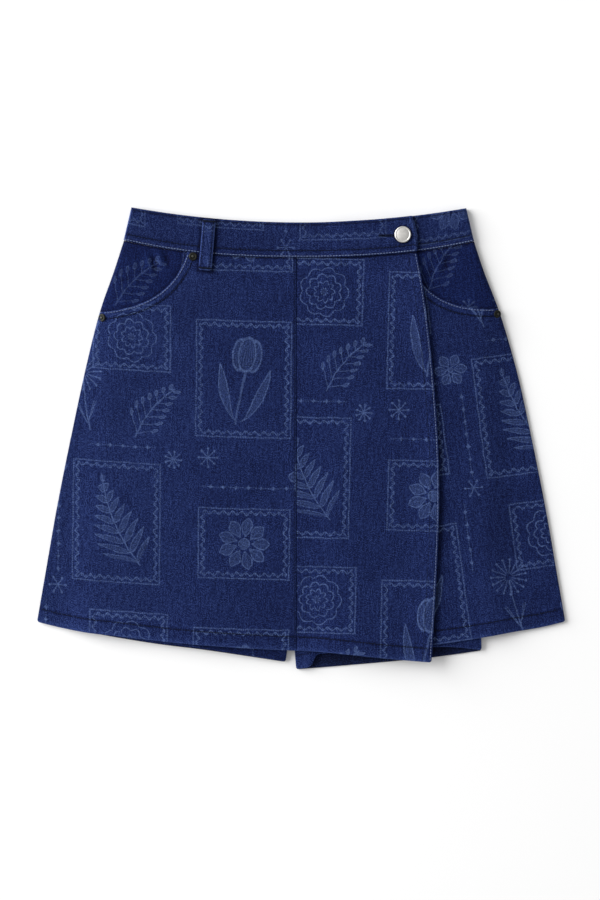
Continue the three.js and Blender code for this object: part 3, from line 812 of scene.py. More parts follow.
def cloth_millimetres(tree, cloth):
    parts = add_node(tree, "ShaderNodeSeparateXYZ", {0: cloth})
    return [Wire(tree, part) * 1000.0 for part in parts.outputs[:2]]


# %% [markdown]
# ## Twill
# Denim is a twill: each pale weft thread goes under three indigo warp threads and over one, and the next row
# does the same one thread further on, so slanted lines appear. The indigo takes unevenly and the yarn is
# thick and thin, which shows as specks and short upright streaks. The group works in the cloth's own
# coordinates, puts out a mask of the pale threads, the specks, and a height for a Bump node.

# %% The twill group
THREAD_PITCH = 0.46
STREAK = 0.09           # the cloth's length is squeezed to this for the streaks of the yarn


def build_twill():
    tree, start, end = new_group("Twill", {"Pitch": THREAD_PITCH}, ("Weft", "Specks", "Height"))
    cloth = start.outputs["Cloth"]
    u, v = cloth_millimetres(tree, cloth)
    pitch = Wire(tree, start.outputs["Pitch"])
    i, j = u / pitch, v / pitch
    turn = (i.math("FLOOR") + j.math("FLOOR")).math("FLOORED_MODULO", 4.0)
    weft = turn.math("LESS_THAN", 0.5)
    round_warp = abs(i.math("FRACT") * 2.0 - 1.0)
    round_weft = abs(j.math("FRACT") * 2.0 - 1.0)
    warp_height = (round_warp * round_warp) * -0.8 + 1.0
    weft_height = (round_weft * round_weft) * -0.8 + 0.85
    height = warp_height + weft * (weft_height - warp_height)
    fine = noise_at(tree, cloth, 940.0, 2.0, 0.7)
    coarse = noise_at(tree, cloth, 330.0, 1.0, 0.5)
    stretched = add_node(tree, "ShaderNodeMapping", {"Vector": cloth, "Scale": (1.0, STREAK, 1.0)})
    streaks = noise_at(tree, stretched.outputs[0], 620.0, 2.0, 0.6)
    specks = (fine * 0.70 + coarse * 0.13 + streaks * 0.17).ramp(0.412, 0.588)
    feed_all(tree, end.inputs, {"Weft": weft, "Specks": specks,
                                "Height": height * 0.7 + fine * 0.5 + streaks * 0.3})
    return tree


twill_group = build_twill()
print("twill group:", len(twill_group.nodes), "nodes")

# %% [markdown]
# ## A printed pattern of garden plants
# The print is a patchwork of frames, rows of beads and line drawings of plants, in a paler blue on the
# indigo. Each motif is a formula for the distance to its outline, and a line is drawn where that distance is
# small. One piece of the pattern repeats over the cloth, and each motif's own coordinates wrap round it, so
# that a motif may cross the edge of the repeat.

# %% Lines and shapes
REPEAT_WIDE = 262.0
REPEAT_HIGH = 318.0
LINE = 0.72             # half the width of a drawn line
SOFT = 0.36
FILL = 0.17             # a petal or leaf is filled this much as strongly as its outline


def drawn(distance, half=LINE):
    """A line where the distance is near nothing."""
    return abs(distance).ramp(half + SOFT, half - SOFT)


def within(distance):
    """A filled shape where the distance is below nothing."""
    return distance.ramp(SOFT, -SOFT)


def length_of(x, y):
    return (x * x + y * y).root()


def oval(x, y, cx, cy, wide, high):
    """Distance from the rim of an oval, near enough for a drawn line."""
    return (length_of((x - cx) / wide, (y - cy) / high) - 1.0) * min(wide, high)


def turned(x, y, degrees):
    c, s = math.cos(math.radians(degrees)), math.sin(math.radians(degrees))
    return x * c + y * s, y * c - x * s


def petal_lines(x, y, length, half_width):
    """A petal along +x: its outline, its slanted veins and a faint fill."""
    along = (x / length).ramp(0.0, 1.0)
    bulge = (along.math("POWER", 1.25) * math.pi).math("SINE")
    region = within(abs(x - length / 2) - length / 2)
    rim = abs(y) - bulge * half_width
    vein = drawn(y, 0.35) * within(x - length * 0.8)
    hatch = drawn((x * 0.8 - abs(y)).wrap(0.95), 0.2) * within(rim + 0.5)
    return drawn(rim, 0.6).most(vein * 0.8).most(hatch * 0.75).most(within(rim) * FILL) * region


# %% Flowers
def daisy(x, y, petals, length, half_width, eye):
    """Petals round an eye: one petal is drawn, and the angle is folded so that it repeats."""
    r = length_of(x, y)
    angle = y.math("ARCTAN2", x).wrap(math.pi / petals)
    along, aside = r * angle.math("COSINE") - eye, r * angle.math("SINE")
    petal = petal_lines(along, aside, length - eye, half_width)
    ring = drawn(r - eye * 0.72, 0.5)
    dots = drawn(r.wrap(0.9), 0.35) * within(r - eye * 0.45)
    return petal.most(ring).most(dots).most(within(r - eye * 0.72) * 0.5)


def rosette(x, y, radius):
    """Rings of scalloped petals that turn a little from ring to ring."""
    r = length_of(x, y)
    angle = y.math("ARCTAN2", x)
    spacing = radius / 3.4
    ring = (r / spacing).math("FLOOR")
    scallop = abs((angle * 4.5 + ring * 1.6).math("SINE")) * (spacing * 0.5)
    rings = drawn((r - scallop).wrap(spacing / 2), 0.6)
    return rings * within(r - scallop - radius * 0.9)


def tulip(x, y, size):
    """A cup of three petals on a stem, with two long leaves."""
    up = y - size * 0.30
    side = abs(x)
    middle = oval(x, up, 0, 0, size * 0.095, size * 0.19)
    outer = oval(side, up, size * 0.075, -size * 0.01, size * 0.085, size * 0.17)
    cup = drawn(middle).most(drawn(outer) * within(-middle)).most(within(middle.least(outer)) * FILL)
    hatch = drawn((x + x * up * 0.02).wrap(1.15), 0.3) * within(middle + 1.0)
    streak = drawn((side - up * 0.3).wrap(1.3), 0.25) * within(outer + 1.0) * within(-middle)
    bend = (y * (math.pi / size)).math("SINE") * (size * 0.03)
    stem = within(abs(x - bend) - 1.1) * 0.7 * within(up + size * 0.17) * within(-(y + size * 0.5))
    low = y + size * 0.46
    spread = (low / size).most(0.0).root() * (size * 0.36)
    width = ((low / (size * 0.62)).ramp(0.0, 1.0) * math.pi).math("SINE") * (size * 0.05)
    reach = within(low - size * 0.62) * within(-low)
    rim = abs(side - spread) - width
    veins = drawn((side - spread).wrap(0.85), 0.22) * within(rim)
    leaves = drawn(rim, 0.55).most(veins * 0.7).most(within(rim) * FILL) * reach
    return cup.most(hatch * 0.75).most(streak * 0.7).most(stem).most(leaves)


def seed_head(x, y, size):
    """A round head of fine stalks with a dot on each, over a long stem."""
    up = y - size * 0.26
    r = length_of(x, up)
    angle = up.math("ARCTAN2", x).wrap(math.pi / 15)
    aside = r * angle.math("SINE")
    radius = size * 0.22
    stalks = drawn(aside, 0.36) * within(r - radius) * within(-r + radius * 0.22)
    dots = within(length_of(r - radius * 1.06, aside) - 1.25)
    inner = within(length_of(r - radius * 0.66, aside) - 0.9)
    bend = (y / size).math("POWER", 2.0) * (size * 0.12)
    stem = drawn(x - bend + size * 0.008, 0.6) * within(up + radius * 0.2) * within(-(y + size * 0.5))
    low = y + size * 0.42
    bladed = drawn(abs(abs(x) - low * 0.42) - (low / (size * 0.3)).ramp(0.0, 1.0) * 1.2, 0.4)
    leaves = bladed * within(low - size * 0.3) * within(-low)
    return stalks.most(dots).most(inner).most(stem).most(leaves)


# %% Branches
def branch(x, y, size, pitch, leaf_length, slant, berries=False):
    """A bent stem with pairs of leaves, or of stalks with berries. Shearing keeps each leaf whole."""
    bent = x - (y / size).math("POWER", 2.0) * (size * 0.28)
    side = abs(bent)
    along = y - side * slant
    fade = (along / size).ramp(0.56, -0.3)
    reach = fade * leaf_length
    across = along.wrap(pitch / 2)
    region = within(abs(along) - size * 0.5)
    stem = drawn(bent, 0.6) * within(abs(y) - size * 0.53)
    if berries:
        stalk = drawn(across, 0.45) * within(side - reach)
        rim = length_of(side - reach - 2.2, across) - 2.1
        berry = drawn(rim, 0.5).most(within(rim) * 0.5)
        return stem.most(stalk.most(berry) * region)
    share = (side / reach.most(0.5)).ramp(0.0, 1.0)
    width = (share.math("POWER", 0.7) * math.pi).math("SINE") * (pitch * 0.32)
    rim = abs(across) - width
    vein = drawn(across, 0.3) * 0.7
    leaves = drawn(rim, 0.48).most(within(rim) * (FILL + 0.1)).most(vein) * within(side - reach)
    return stem.most(leaves * region)


def sparkle(x, y, rays, radius):
    """A small star of fine lines."""
    r = length_of(x, y)
    aside = r * y.math("ARCTAN2", x).wrap(math.pi / rays).math("SINE")
    return (drawn(aside, 0.45) * within(r - radius)).most(within(length_of(r - radius, aside) - 1.2))


# %% Frames and rows of beads
def frame_lines(x, y, half_wide, half_high):
    """A fine straight line, and inside it a wavy one between short ticks."""
    over_x, over_y = abs(x) - half_wide, abs(y) - half_high
    edge = over_x.most(over_y)
    on_side = over_x.math("GREATER_THAN", over_y)
    along = x + on_side * (y - x)
    straight = drawn(edge, 0.62) * (within(abs(along.wrap(1.2)) - 0.62) * 0.6 + 0.4)
    wave_line = drawn(edge + 4.4 + (along * (2 * math.pi / 9.5)).math("SINE") * 1.8, 0.6)
    dots = within(length_of(edge + 4.4, (along - 2.375).wrap(4.75 / 2)) - 0.7)
    return straight.most(wave_line).most(dots * 0.8)


def bead_row(x, y, half_length):
    """A row of small diamonds on a dotted line."""
    diamonds = within(abs(x.wrap(6.5)) + abs(y) - 2.1)
    dotted = drawn(y, 0.4) * within(abs(x.wrap(1.3)) - 0.8)
    return diamonds.most(dotted * 0.8) * within(abs(x) - half_length)


# %% Lay out the repeat
HAND_SWAY, HAND_SHAKE = 2.6, 1.7    # the lines wander by a few millimetres, as if drawn by hand


def build_print():
    tree, start, end = new_group("GardenPrint", {}, ("Lines",))
    cloth = start.outputs["Cloth"]
    u, v = cloth_millimetres(tree, cloth)
    shake = noise_at(tree, cloth, 90.0, 2.0, 0.6)
    sway = noise_at(tree, cloth, 84.0, 2.0, 0.6, 0.4)
    rough = noise_at(tree, cloth, 430.0, 2.0, 0.6)
    u = u + (shake - 0.5) * HAND_SWAY + (rough - 0.5) * HAND_SHAKE
    v = v + (sway - 0.5) * HAND_SWAY - (rough - 0.5) * HAND_SHAKE

    def at(cx, cy, degrees=0.0):
        x = (u - cx).wrap(REPEAT_WIDE / 2)
        y = (v - cy).wrap(REPEAT_HIGH / 2)
        return turned(x, y, degrees) if degrees else (x, y)

    marks = [
        frame_lines(*at(-68, 84), 49, 60),
        tulip(*at(-68, 82, -7), 92),
        frame_lines(*at(64, -70), 45, 62),
        branch(*at(62, -70, 24), 96, 11.5, 26, 0.75),
        frame_lines(*at(-66, -86), 47, 36),
        daisy(*at(-66, -86), 9, 27, 5.4, 7.5),
        frame_lines(*at(78, 122), 40, 34),
        rosette(*at(78, 122), 25),
        seed_head(*at(30, 62, 6), 78),
        branch(*at(99, 48, -38), 62, 9.5, 13, 0.9, berries=True),
        daisy(*at(-4, -16), 6, 17, 4.6, 3.4),
        sparkle(*at(-104, 2), 8, 9.5),
        sparkle(*at(4, -140), 6, 8.5),
        sparkle(*at(122, -2), 9, 8.0),
        bead_row(*at(-62, -28), 50),
        bead_row(*at(4, -84, 90), 44),
        bead_row(*at(-8, 128, 90), 36),
        bead_row(*at(70, 9), 34),
    ]
    total = marks[0]
    for mark in marks[1:]:
        total = total.most(mark)
    grain = noise_at(tree, cloth, 620.0, 2.0, 0.7).ramp(0.36, 0.62)
    patchy = noise_at(tree, cloth, 46.0, 1.0).ramp(0.25, 0.6)
    feed(tree, end.inputs["Lines"], total * (grain * 0.75 + 0.25) * (patchy * 0.35 + 0.65))
    return tree


print_group = build_print()
print("print group:", len(print_group.nodes), "nodes")


# %% [markdown]
# ## Denim as a material
# A cloth material adds up the groups: the indigo ground from the twill's specks, broad clouds where the dye
# and the light wash are uneven, the print, and an attribute that each panel carries, which pales worn edges and adds
# painted shade and painted highlights.
# Roughness is high and sheen low, because cotton scatters light and has little gloss. Sheen is the same all
# over, so it is one number. Thread, metal and the floor start from the same few helpers.


# %% Helpers for materials
def new_material(name):
    """A material, its node tree, and the Principled shader in it."""
    material = bpy.data.materials.new(name)
    material.use_nodes = True
    return material, material.node_tree, material.node_tree.nodes["Principled BSDF"]


def bumped(tree, height, strength, distance):
    inputs = {"Strength": strength, "Distance": distance, "Height": height}
    return add_node(tree, "ShaderNodeBump", inputs).outputs[0]


def wear_and_shade_of(tree):
    return Wire(tree, add_node(tree, "ShaderNodeAttribute", attribute_name="wear").outputs["Fac"])


def blend_colours(tree, share, first, second):
    node = add_node(tree, "ShaderNodeMix", data_type="RGBA")
    feed_all(tree, node.inputs, {0: share, 6: first, 7: second})
    return node.outputs[2]


# %% Denim
def indigo_ramp(tree, value, dark, middle, light):
    node = add_node(tree, "ShaderNodeValToRGB", {"Fac": value})
    stops = node.color_ramp.elements
    stops[0].position, stops[0].color = 0.0, (*dark, 1)
    stops[1].position, stops[1].color = 1.0, (*light, 1)
    stops.new(0.5).color = (*middle, 1)
    return node.outputs["Color"]


def denim(name, dark, middle, light, line_colour=None, print_strength=0.0):
    material, tree, shader = new_material(name)
    cloth = add_node(tree, "ShaderNodeUVMap", uv_map="cloth").outputs[0]
    twill = add_node(tree, "ShaderNodeGroup", node_tree=twill_group)
    feed(tree, twill.inputs["Cloth"], cloth)
    wear = wear_and_shade_of(tree)
    clouds = noise_at(tree, cloth, 14.0, 3.0, 0.6) - 0.5
    specks = Wire(tree, twill.outputs["Specks"])
    weft = Wire(tree, twill.outputs["Weft"])
    # The panel's attribute pales worn edges and also darkens or lightens the cloth with painted shade and painted
    # highlights.
    tone = specks * 0.86 + weft * 0.1 + clouds * 0.32 + wear * 0.35
    colour = indigo_ramp(tree, tone, dark, middle, light)
    if line_colour:
        drawing = add_node(tree, "ShaderNodeGroup", node_tree=print_group)
        feed(tree, drawing.inputs["Cloth"], cloth)
        ink = Wire(tree, drawing.outputs["Lines"]) * print_strength
        colour = blend_colours(tree, ink * (specks * 0.5 + 0.62), colour, (*line_colour, 1))
    feed_all(tree, shader.inputs, {
        "Base Color": colour, "Roughness": specks * -0.08 + 0.93, "Specular IOR Level": 0.08,
        "Sheen Weight": 0.03, "Sheen Roughness": 0.5,
        "Normal": bumped(tree, twill.outputs["Height"], 0.5, 0.0002),
    })
    return material


INDIGO_DARK = (0.0014, 0.0034, 0.021)
INDIGO = (0.0058, 0.0138, 0.077)
INDIGO_LIGHT = (0.033, 0.058, 0.186)
PRINT_BLUE = (0.098, 0.155, 0.345)
printed_denim = denim("printed denim", INDIGO_DARK, INDIGO, INDIGO_LIGHT, PRINT_BLUE, 0.84)
band_denim = denim("waistband denim", INDIGO_DARK, (0.0042, 0.0106, 0.064), INDIGO_LIGHT, PRINT_BLUE, 0.6)
facing_denim = denim("facing denim", (0.0008, 0.0018, 0.014), (0.0022, 0.0070, 0.054),
                     (0.013, 0.029, 0.125), PRINT_BLUE, 0.42)
# The inside of the denim is also darkened, painted shade for the dark openings of the legs.
shaded_inside_denim = denim("inside of the denim", (0.0014, 0.0028, 0.014), (0.0075, 0.014, 0.056),
                     (0.030, 0.050, 0.150))
print("denim materials:", [m.name for m in (printed_denim, band_denim, facing_denim, shaded_inside_denim)])

# %% [markdown]
# ## The cloth panels
# Every panel needs its four edges, the height of its underside, its relief, and how it was cut from the
# printed cloth. `cut` turns and shifts the garment's coordinates into the cloth's, one way for each panel, so
# the print breaks off at the seams as it does on real clothes, where pieces are cut from different places.


# %% Edges shared by several panels
def under_seam_y(x):
    return waist_seam_y(x) - SEAM_GAP / 2


def over_seam_y(x):
    return waist_seam_y(x) + SEAM_GAP / 2


def below_band(x):
    return (x, under_seam_y(x))


def follow(curve, start, end):
    """An edge along y = curve(x), from one x to another."""
    def edge(s):
        x = mix(start, end, s)
        return (x, curve(x))

    return edge


def straight(start, end):
    return lambda t: (mix(start[0], end[0], t), mix(start[1], end[1], t))


def centre_seam(x):
    return straight(below_band(x), (x, front_hem_y(x)))


def from_inside(side, top, bottom, inner, outer):
    """The edges of a panel whose top and bottom were drawn from the garment's middle outwards."""
    if side > 0:
        return {"top": top, "bottom": bottom, "left": inner, "right": outer}
    return {"top": lambda s: top(1 - s), "bottom": lambda s: bottom(1 - s), "left": outer, "right": inner}


def side_edge(side, from_y, to_y):
    def edge(t):
        y = mix(from_y, to_y, t)
        return (side_x(side, y), y)

    return edge


def cut(degrees, shift_u, shift_v, bend=0.0):
    """How a panel lay on the cloth: turned by an angle, shifted, and with a grain that bends sideways."""
    c, s = math.cos(math.radians(degrees)), math.sin(math.radians(degrees))

    def cloth_uv(spot):
        return (spot.x * c + spot.y * s + shift_u, spot.y * c - spot.x * s - bend * spot.x ** 2 + shift_v)

    return cloth_uv


ROWS = (FINE, STEP, HEM_LINES)
COARSE = (0, 0.6, 1.6, 4, 8)
SIDE_ROLL = 5.5
SIDE_LOW = CLOTH + SEAM_GAP + 0.9


def edge_wear(distance, x, y, width=1.6):
    """Paler where the cloth is rubbed, in patches along its edges."""
    return (1 - smooth(distance / width)) * clamp01(0.75 + 0.6 * wave(x, y, 9, 3))


def painted_seam_shade(distance, x, y, width=3.0):
    """Painted shade: darker in the hollow beside a seam, where the cloth lies in shade."""
    return -(1 - smooth(distance / width)) * clamp01(0.8 + 0.5 * wave(x, y, 7, 6))


LOOP_TOP, LOOP_BOTTOM, LOOP_WIDTH = Vector((-94.8, 226.2)), Vector((-99.3, 173.4)), 13.5
loop_way = LOOP_BOTTOM - LOOP_TOP


def painted_loop_shadow(x, y):
    """Painted shadow: dark beside the belt loop, where it shades the cloth."""
    from_top = Vector((x, y)) - LOOP_TOP
    aside = abs(from_top.cross(loop_way)) / loop_way.length - LOOP_WIDTH / 2
    past = from_top.dot(loop_way) / loop_way.length - loop_way.length
    return -(1 - smooth(math.hypot(max(aside, 0), max(past, 0)) / 5)) * 1.5


def painted_row_shading(distance, row, depth=0.8, width=1.25):
    """Painted shade: a soft dark line along a row of stitches, in the groove where it pulls the cloth down. A negative
    depth paints a pale line instead, a painted highlight.
    """
    return -depth * math.exp(-((distance - row) / width) ** 2)


# %% [markdown]
# ### Back of the skirt
# The back carries everything and lies flat on the floor, so its relief is faint and only upward. Nothing of
# it shows from above but a thin line at the side seams.


# %% Make the back
def back_edges():
    high, low = under_seam_y(SEAM_HALF), back_hem_y(side_x(1, BACK_CORNER_Y))

    def edge_x(side, y):
        return side_x(side, y) - side * HIDDEN_INSET

    top = follow(under_seam_y, edge_x(-1, high), edge_x(1, high))
    bottom = follow(back_hem_y, edge_x(-1, low), edge_x(1, low))

    def side_line(side, end):
        return lambda t: (edge_x(side, mix(high, low, t)), mix(top(end)[1], bottom(end)[1], t))

    return {"top": top, "bottom": bottom, "left": side_line(-1, 0), "right": side_line(1, 1)}


def back_relief(spot):
    near = min(spot.left, spot.right, spot.top, spot.bottom)
    hem = 0.1 * (1 - smooth((spot.bottom - HEM_DEPTH) / HEM_STEP))
    return 0.1 + 0.05 * wave(spot.x, spot.y, 40) + hem - 0.08 * (1 - smooth(near / 2))


back = Panel("skirt_back_cloth", back_edges(), lie_back, back_relief)
back_rows = (COARSE, 7, COARSE + (11.5, 13.5, 14.6, 15.6, 17.5))
back_obj = make_panel(back, column_lines(back, 7, (), COARSE, COARSE), back_rows, 1.0,
                      cloth_uv=cut(0, 40, 90))
dress(back_obj, printed_denim, "denim", "back_panel")

# %% [markdown]
# ### The two short legs
# Each leg is two layers of denim. Only a strip below the skirt's hem shows, and there the front layer rises
# in a shallow arch over the dark opening of the leg, so the rows are close together near the hem alone.


# %% Make the legs
def leg_hem_y(leg, is_front=True):
    return lambda x: read_table(leg["hem"], x) + (read_table(leg["front_rise"], x) if is_front else 0.0)


def leg_edges(leg, is_front):
    centre = CENTRE_BACK_X + leg["side"] * SEAM_GAP / 2
    inner_x, outer_x = leg["inner_x"], leg["outer"][0]
    hem_y = leg_hem_y(leg, is_front)
    high, low = under_seam_y(centre), hem_y(inner_x)

    def inner(t):
        y = mix(high, low, t)
        opened = clamp01((CROTCH_Y - y) / (CROTCH_Y - low)) ** 1.3
        return (mix(centre, inner_x, opened), y)

    return from_inside(leg["side"], follow(under_seam_y, centre, leg["waist_x"]),
                       follow(hem_y, inner_x, outer_x), inner,
                       straight(below_band(leg["waist_x"]), (outer_x, hem_y(outer_x))))


def leg_relief(spot):
    near_side = min(spot.left, spot.right)
    return 0.06 * wave(spot.x, spot.y, 30, 8) + hem_relief(spot.bottom, spot.x, 31) * 0.8 \
        + rim_drop(near_side, 0.4, 2.5) + puckers(near_side, spot.y, 17, 0.15)


def leg_wear_and_painted_light(spot):
    """Pale with wear at its edges, with a painted highlight at the right leg's inner corner, painted shade along its
    stitches and a painted shadow beside the skirt's hem.
    """
    painted_skirt_shadow = painted_seam_shade(spot.y - front_hem_y(spot.x), spot.x, spot.y, 7)
    return 1.3 * edge_wear(min(spot.bottom, spot.left, spot.right), spot.x, spot.y) \
        + painted_row_shading(spot.bottom, HEM_ROW) + 0.7 * painted_skirt_shadow \
        - painted_row_shading(spot.x, RIGHT_LEG["inner_x"] + 9, 0.8, 9)


def painted_inside_shade(spot):
    """Painted shade: the opening of a leg is dark, and darkest far in under the front layer."""
    return mix(-0.85, -0.1, smooth((8 - spot.bottom) / 10)) * (1.0 if spot.x < 120 else 1.25)


leg_rows = (COARSE, 9, HEM_LINES + (24, 28, 33, 39, 46))
for word, leg, shift in (("left", LEFT_LEG, 30), ("right", RIGHT_LEG, 160)):
    behind = Panel(f"leg_{word}_back_cloth", leg_edges(leg, False), lie_shorts_back, leg_relief)
    corners = (("bottom", "left"), ("bottom", "right"))
    behind_obj = make_panel(behind, column_lines(behind, 2 * STEP, (), COARSE, COARSE), leg_rows, 1.0, 1.2,
                            corners, cut(0, shift, 10), painted_inside_shade)
    dress(behind_obj, shaded_inside_denim, "denim_inside", f"shorts_{word}_back")
    over = Panel(f"leg_{word}_front_cloth", leg_edges(leg, True), lie_shorts_front, leg_relief)
    over_obj = make_panel(over, column_lines(over, STEP), leg_rows, 0.95, 1.45, corners,
                          cut(-3, shift, 64), leg_wear_and_painted_light)
    dress(over_obj, printed_denim, "denim", f"shorts_{word}_front")

# %% [markdown]
# ### Pocket facings
# Behind each curved pocket edge the same printed denim shows as a facing. It carries the seam with the
# waistband, which gathers it a little into a few soft dents and small puckers.


# %% Make the facings
def facing_edges(pocket):
    side = pocket["side"]
    inner_x = side * (pocket["top_x"] - 7)
    outer_x = side * SEAM_HALF + LEAN
    outer = side_edge(side, under_seam_y(outer_x), pocket["end_y"] + SEAM_GAP)

    def hidden(f):
        """Well under the front, but near the side just above the pocket's edge, where both roll down."""
        depth = mix(FACING_DEPTH * (0.85 + 0.15 * f), -SEAM_GAP, smooth((f - 0.70) / 0.16))
        return pocket_point(pocket, mix(0.12, 1, f), depth)

    return from_inside(side, follow(under_seam_y, inner_x, outer_x), hidden,
                       straight(below_band(inner_x), hidden(0)), outer)


# Each dent's middle, half sizes, depth (a ridge where it is below 0) and turn.
DENTS = [(-151.5, 181.0, 2.8, 8.0, 1.9, 16), (-138.5, 186.0, 2.8, 7.0, 1.3, 22),
         (-157.5, 181.0, 3.2, 10.0, -0.8, 18), (-145.5, 183.0, 3.0, 9.0, -0.7, 20),
         (-126.0, 168.0, 5.0, 9.0, 0.6, 40),
         (150.0, 181.0, 4.5, 10.0, 1.1, -22), (143.0, 178.0, 3.4, 10.0, -0.6, -24),
         (134.0, 172.0, 4.0, 8.0, 0.6, -35)]


def dents(x, y):
    depth = 0.0
    for cx, cy, wide, high, deep, degrees in DENTS:
        c, s = math.cos(math.radians(degrees)), math.sin(math.radians(degrees))
        dx, dy = x - cx, y - cy
        spread = ((dx * c + dy * s) / wide) ** 2 + ((dy * c - dx * s) / high) ** 2
        if spread < 9:
            depth -= deep * math.exp(-spread)
    return depth


def facing_relief(spot):
    return rest_waves(spot.x, spot.y, 21) * 0.7 + puckers(spot.top, spot.x, 22, 0.5, 8, 16) \
        + rim_drop(spot.top, 0.4, 2) + dents(spot.x, spot.y)


# Painted shade along the pocket's edge, under the band and in the dents, with painted highlights on the ridges between
# the dents.
def painted_facing_shading(spot):
    pocket = LEFT_POCKET if spot.x < 0 else RIGHT_POCKET
    by_pocket = painted_seam_shade(pocket_distance(pocket, spot.x, spot.y), spot.x, spot.y, 4)
    return by_pocket + 1.6 * painted_seam_shade(spot.top, spot.x, spot.y) + 0.7 * dents(spot.x, spot.y)


facing_rows = (FINE, STEP, COARSE)
for word, pocket, placed in (("left", LEFT_POCKET, (-8, 30, -90.5)),
                             ("right", RIGHT_POCKET, (9, -70, -108))):
    roll = (word, SIDE_LOW, SIDE_ROLL)
    facing = Panel(f"pocket_facing_{word}_cloth", facing_edges(pocket), lie_on_shorts, facing_relief,
                   roll=roll)
    facing_obj = make_panel(facing, column_lines(facing), facing_rows, 0.85,
                            cloth_uv=cut(*placed), wear=painted_facing_shading)
    dress(facing_obj, facing_denim, "denim", f"pocket_facing_{word}")

# %% [markdown]
# ### Fronts
# The left front and the underlap end above in a pocket curve and then the waist seam. Their relief measures
# the true distance from that line, not the distance along a grid column, because the columns meet the
# pocket curve at a slant.


# %% Make the left front and the underlap
def front_top(pocket, end_x, share):
    def edge(s):
        f = s if pocket["side"] < 0 else 1 - s
        if f <= share:
            return pocket_point(pocket, 1 - f / share)
        return below_band(mix(pocket["side"] * pocket["top_x"], end_x, (f - share) / (1 - share)))

    return edge


def front_top_distance(pocket):
    def distance(x, y):
        to_seam = abs(under_seam_y(x) - y)
        if x * pocket["side"] < 0:
            return to_seam
        to_pocket = pocket_distance(pocket, x, y)
        return to_pocket if abs(x) > pocket["top_x"] else min(to_seam, to_pocket)

    return distance


POCKET_ROWS = (1.5, 7.6)
RIVET_SPOTS = [(-111.6, 187.9), (-205.6, 124.6), (202.4, 128.4)]


def rivet_press(x, y):
    """The cloth is pressed down under a rivet."""
    near = min(math.hypot(x - a, y - b) for a, b in RIVET_SPOTS)
    return -0.5 * math.exp(-(near / 5.2) ** 2) if near < 16 else 0.0


def pocket_relief(pocket, spot):
    """The turned edge of a pocket with its two rows of stitches."""
    share = smooth((abs(spot.x) - pocket["top_x"] + 8) / 14) if spot.x * pocket["side"] > 0 else 0.0
    if share == 0:
        return 0.0
    rows = groove(spot.top, POCKET_ROWS[0], 0.26) + groove(spot.top, POCKET_ROWS[1], 0.4, 1.1)
    return share * (raised_edge(spot.top, 9.5, 0.35) + rows) + rivet_press(spot.x, spot.y)


LEFT_SHARE = 9 / 18
RIGHT_SHARE = 9 / 14


def left_front_edges():
    seam_x = CENTRE_SEAM_X - SEAM_GAP / 2
    hem_x, hem_y = FRONT_HEM[0]
    return {
        "top": front_top(LEFT_POCKET, seam_x, LEFT_SHARE),
        "bottom": follow(front_hem_y, hem_x, seam_x),
        "left": side_edge(-1, LEFT_POCKET["end_y"], hem_y),
        "right": centre_seam(seam_x),
    }


def left_front_relief(spot):
    return rest_waves(spot.x, spot.y, 1) + puckers(spot.top, spot.x + spot.y, 2, 0.4, 7.5, 12) \
        + rim_drop(spot.top, 0.6, 2.0) + pocket_relief(LEFT_POCKET, spot) \
        + rim_drop(spot.right, 0.32, 1.6) + puckers(spot.right, spot.y, 3, 0.26, 8, 9) \
        + raised_edge(spot.right, 8, 0.25, 2.5) + groove(spot.right, 2.2, 0.18) \
        + hem_relief(spot.bottom, spot.x, 4)


def top_wear_and_painted_light(pocket, spot):
    """Pale with wear along the pocket's edge, with painted shade along its dark row and painted highlights on the
    ridges beside it, and a painted shadow under the band.
    """
    if abs(spot.x) > pocket["top_x"] and spot.x * pocket["side"] > 0:
        row = POCKET_ROWS[1]
        ridges = painted_row_shading(spot.top, row - 2.6, -0.3) + painted_row_shading(spot.top, row + 2.4, -0.25)
        return edge_wear(spot.top, spot.x, spot.y) + painted_row_shading(spot.top, row, 1.0) + ridges
    return 2.2 * painted_seam_shade(spot.top, spot.x, spot.y, 2.6)


def hem_wear_and_painted_shade(spot):
    """Rubbed along the fold of the hem, with painted shade along its row of stitches."""
    rubbed = edge_wear(spot.bottom, spot.x, spot.y) + 0.85 * edge_wear(spot.bottom, spot.y, spot.x, 7)
    return rubbed + painted_row_shading(spot.bottom, HEM_ROW, 0.7, 1.4)


# Wear and painted light at the hem and the pocket, painted shade beside the centre seam and the belt loop, and darker
# towards the centre seam, away from the lamp.
def front_wear_and_painted_light(spot):
    return hem_wear_and_painted_shade(spot) + top_wear_and_painted_light(LEFT_POCKET, spot) \
        + 0.4 * painted_seam_shade(spot.right, spot.x, spot.y, 2.0) - 0.18 * smooth((150 - spot.right) / 100) \
        + painted_loop_shadow(spot.x, spot.y)


left_front = Panel("front_left_cloth", left_front_edges(), lie_left, left_front_relief,
                   roll=("left", SIDE_LOW, SIDE_ROLL), top_distance=front_top_distance(LEFT_POCKET))
left_obj = make_panel(left_front, column_lines(left_front, STEP, (LEFT_SHARE,)), ROWS, 0.95, 1.45,
                      (("bottom", "left"),), cut(-0.6, -8, 24, 0.00016), front_wear_and_painted_light)
dress(left_obj, printed_denim, "denim", "front_left_panel")


def right_front_edges():
    hem_x, hem_y = UNDERLAP_HEM[-1]
    top = front_top(RIGHT_POCKET, UNDERLAP_BAND_END_X, RIGHT_SHARE)
    bottom = follow(underlap_hem_y, UNDERLAP_HEM_END_X, hem_x)
    return {"top": top, "bottom": bottom, "left": straight(top(0), bottom(0)),
            "right": side_edge(1, RIGHT_POCKET["end_y"], hem_y)}


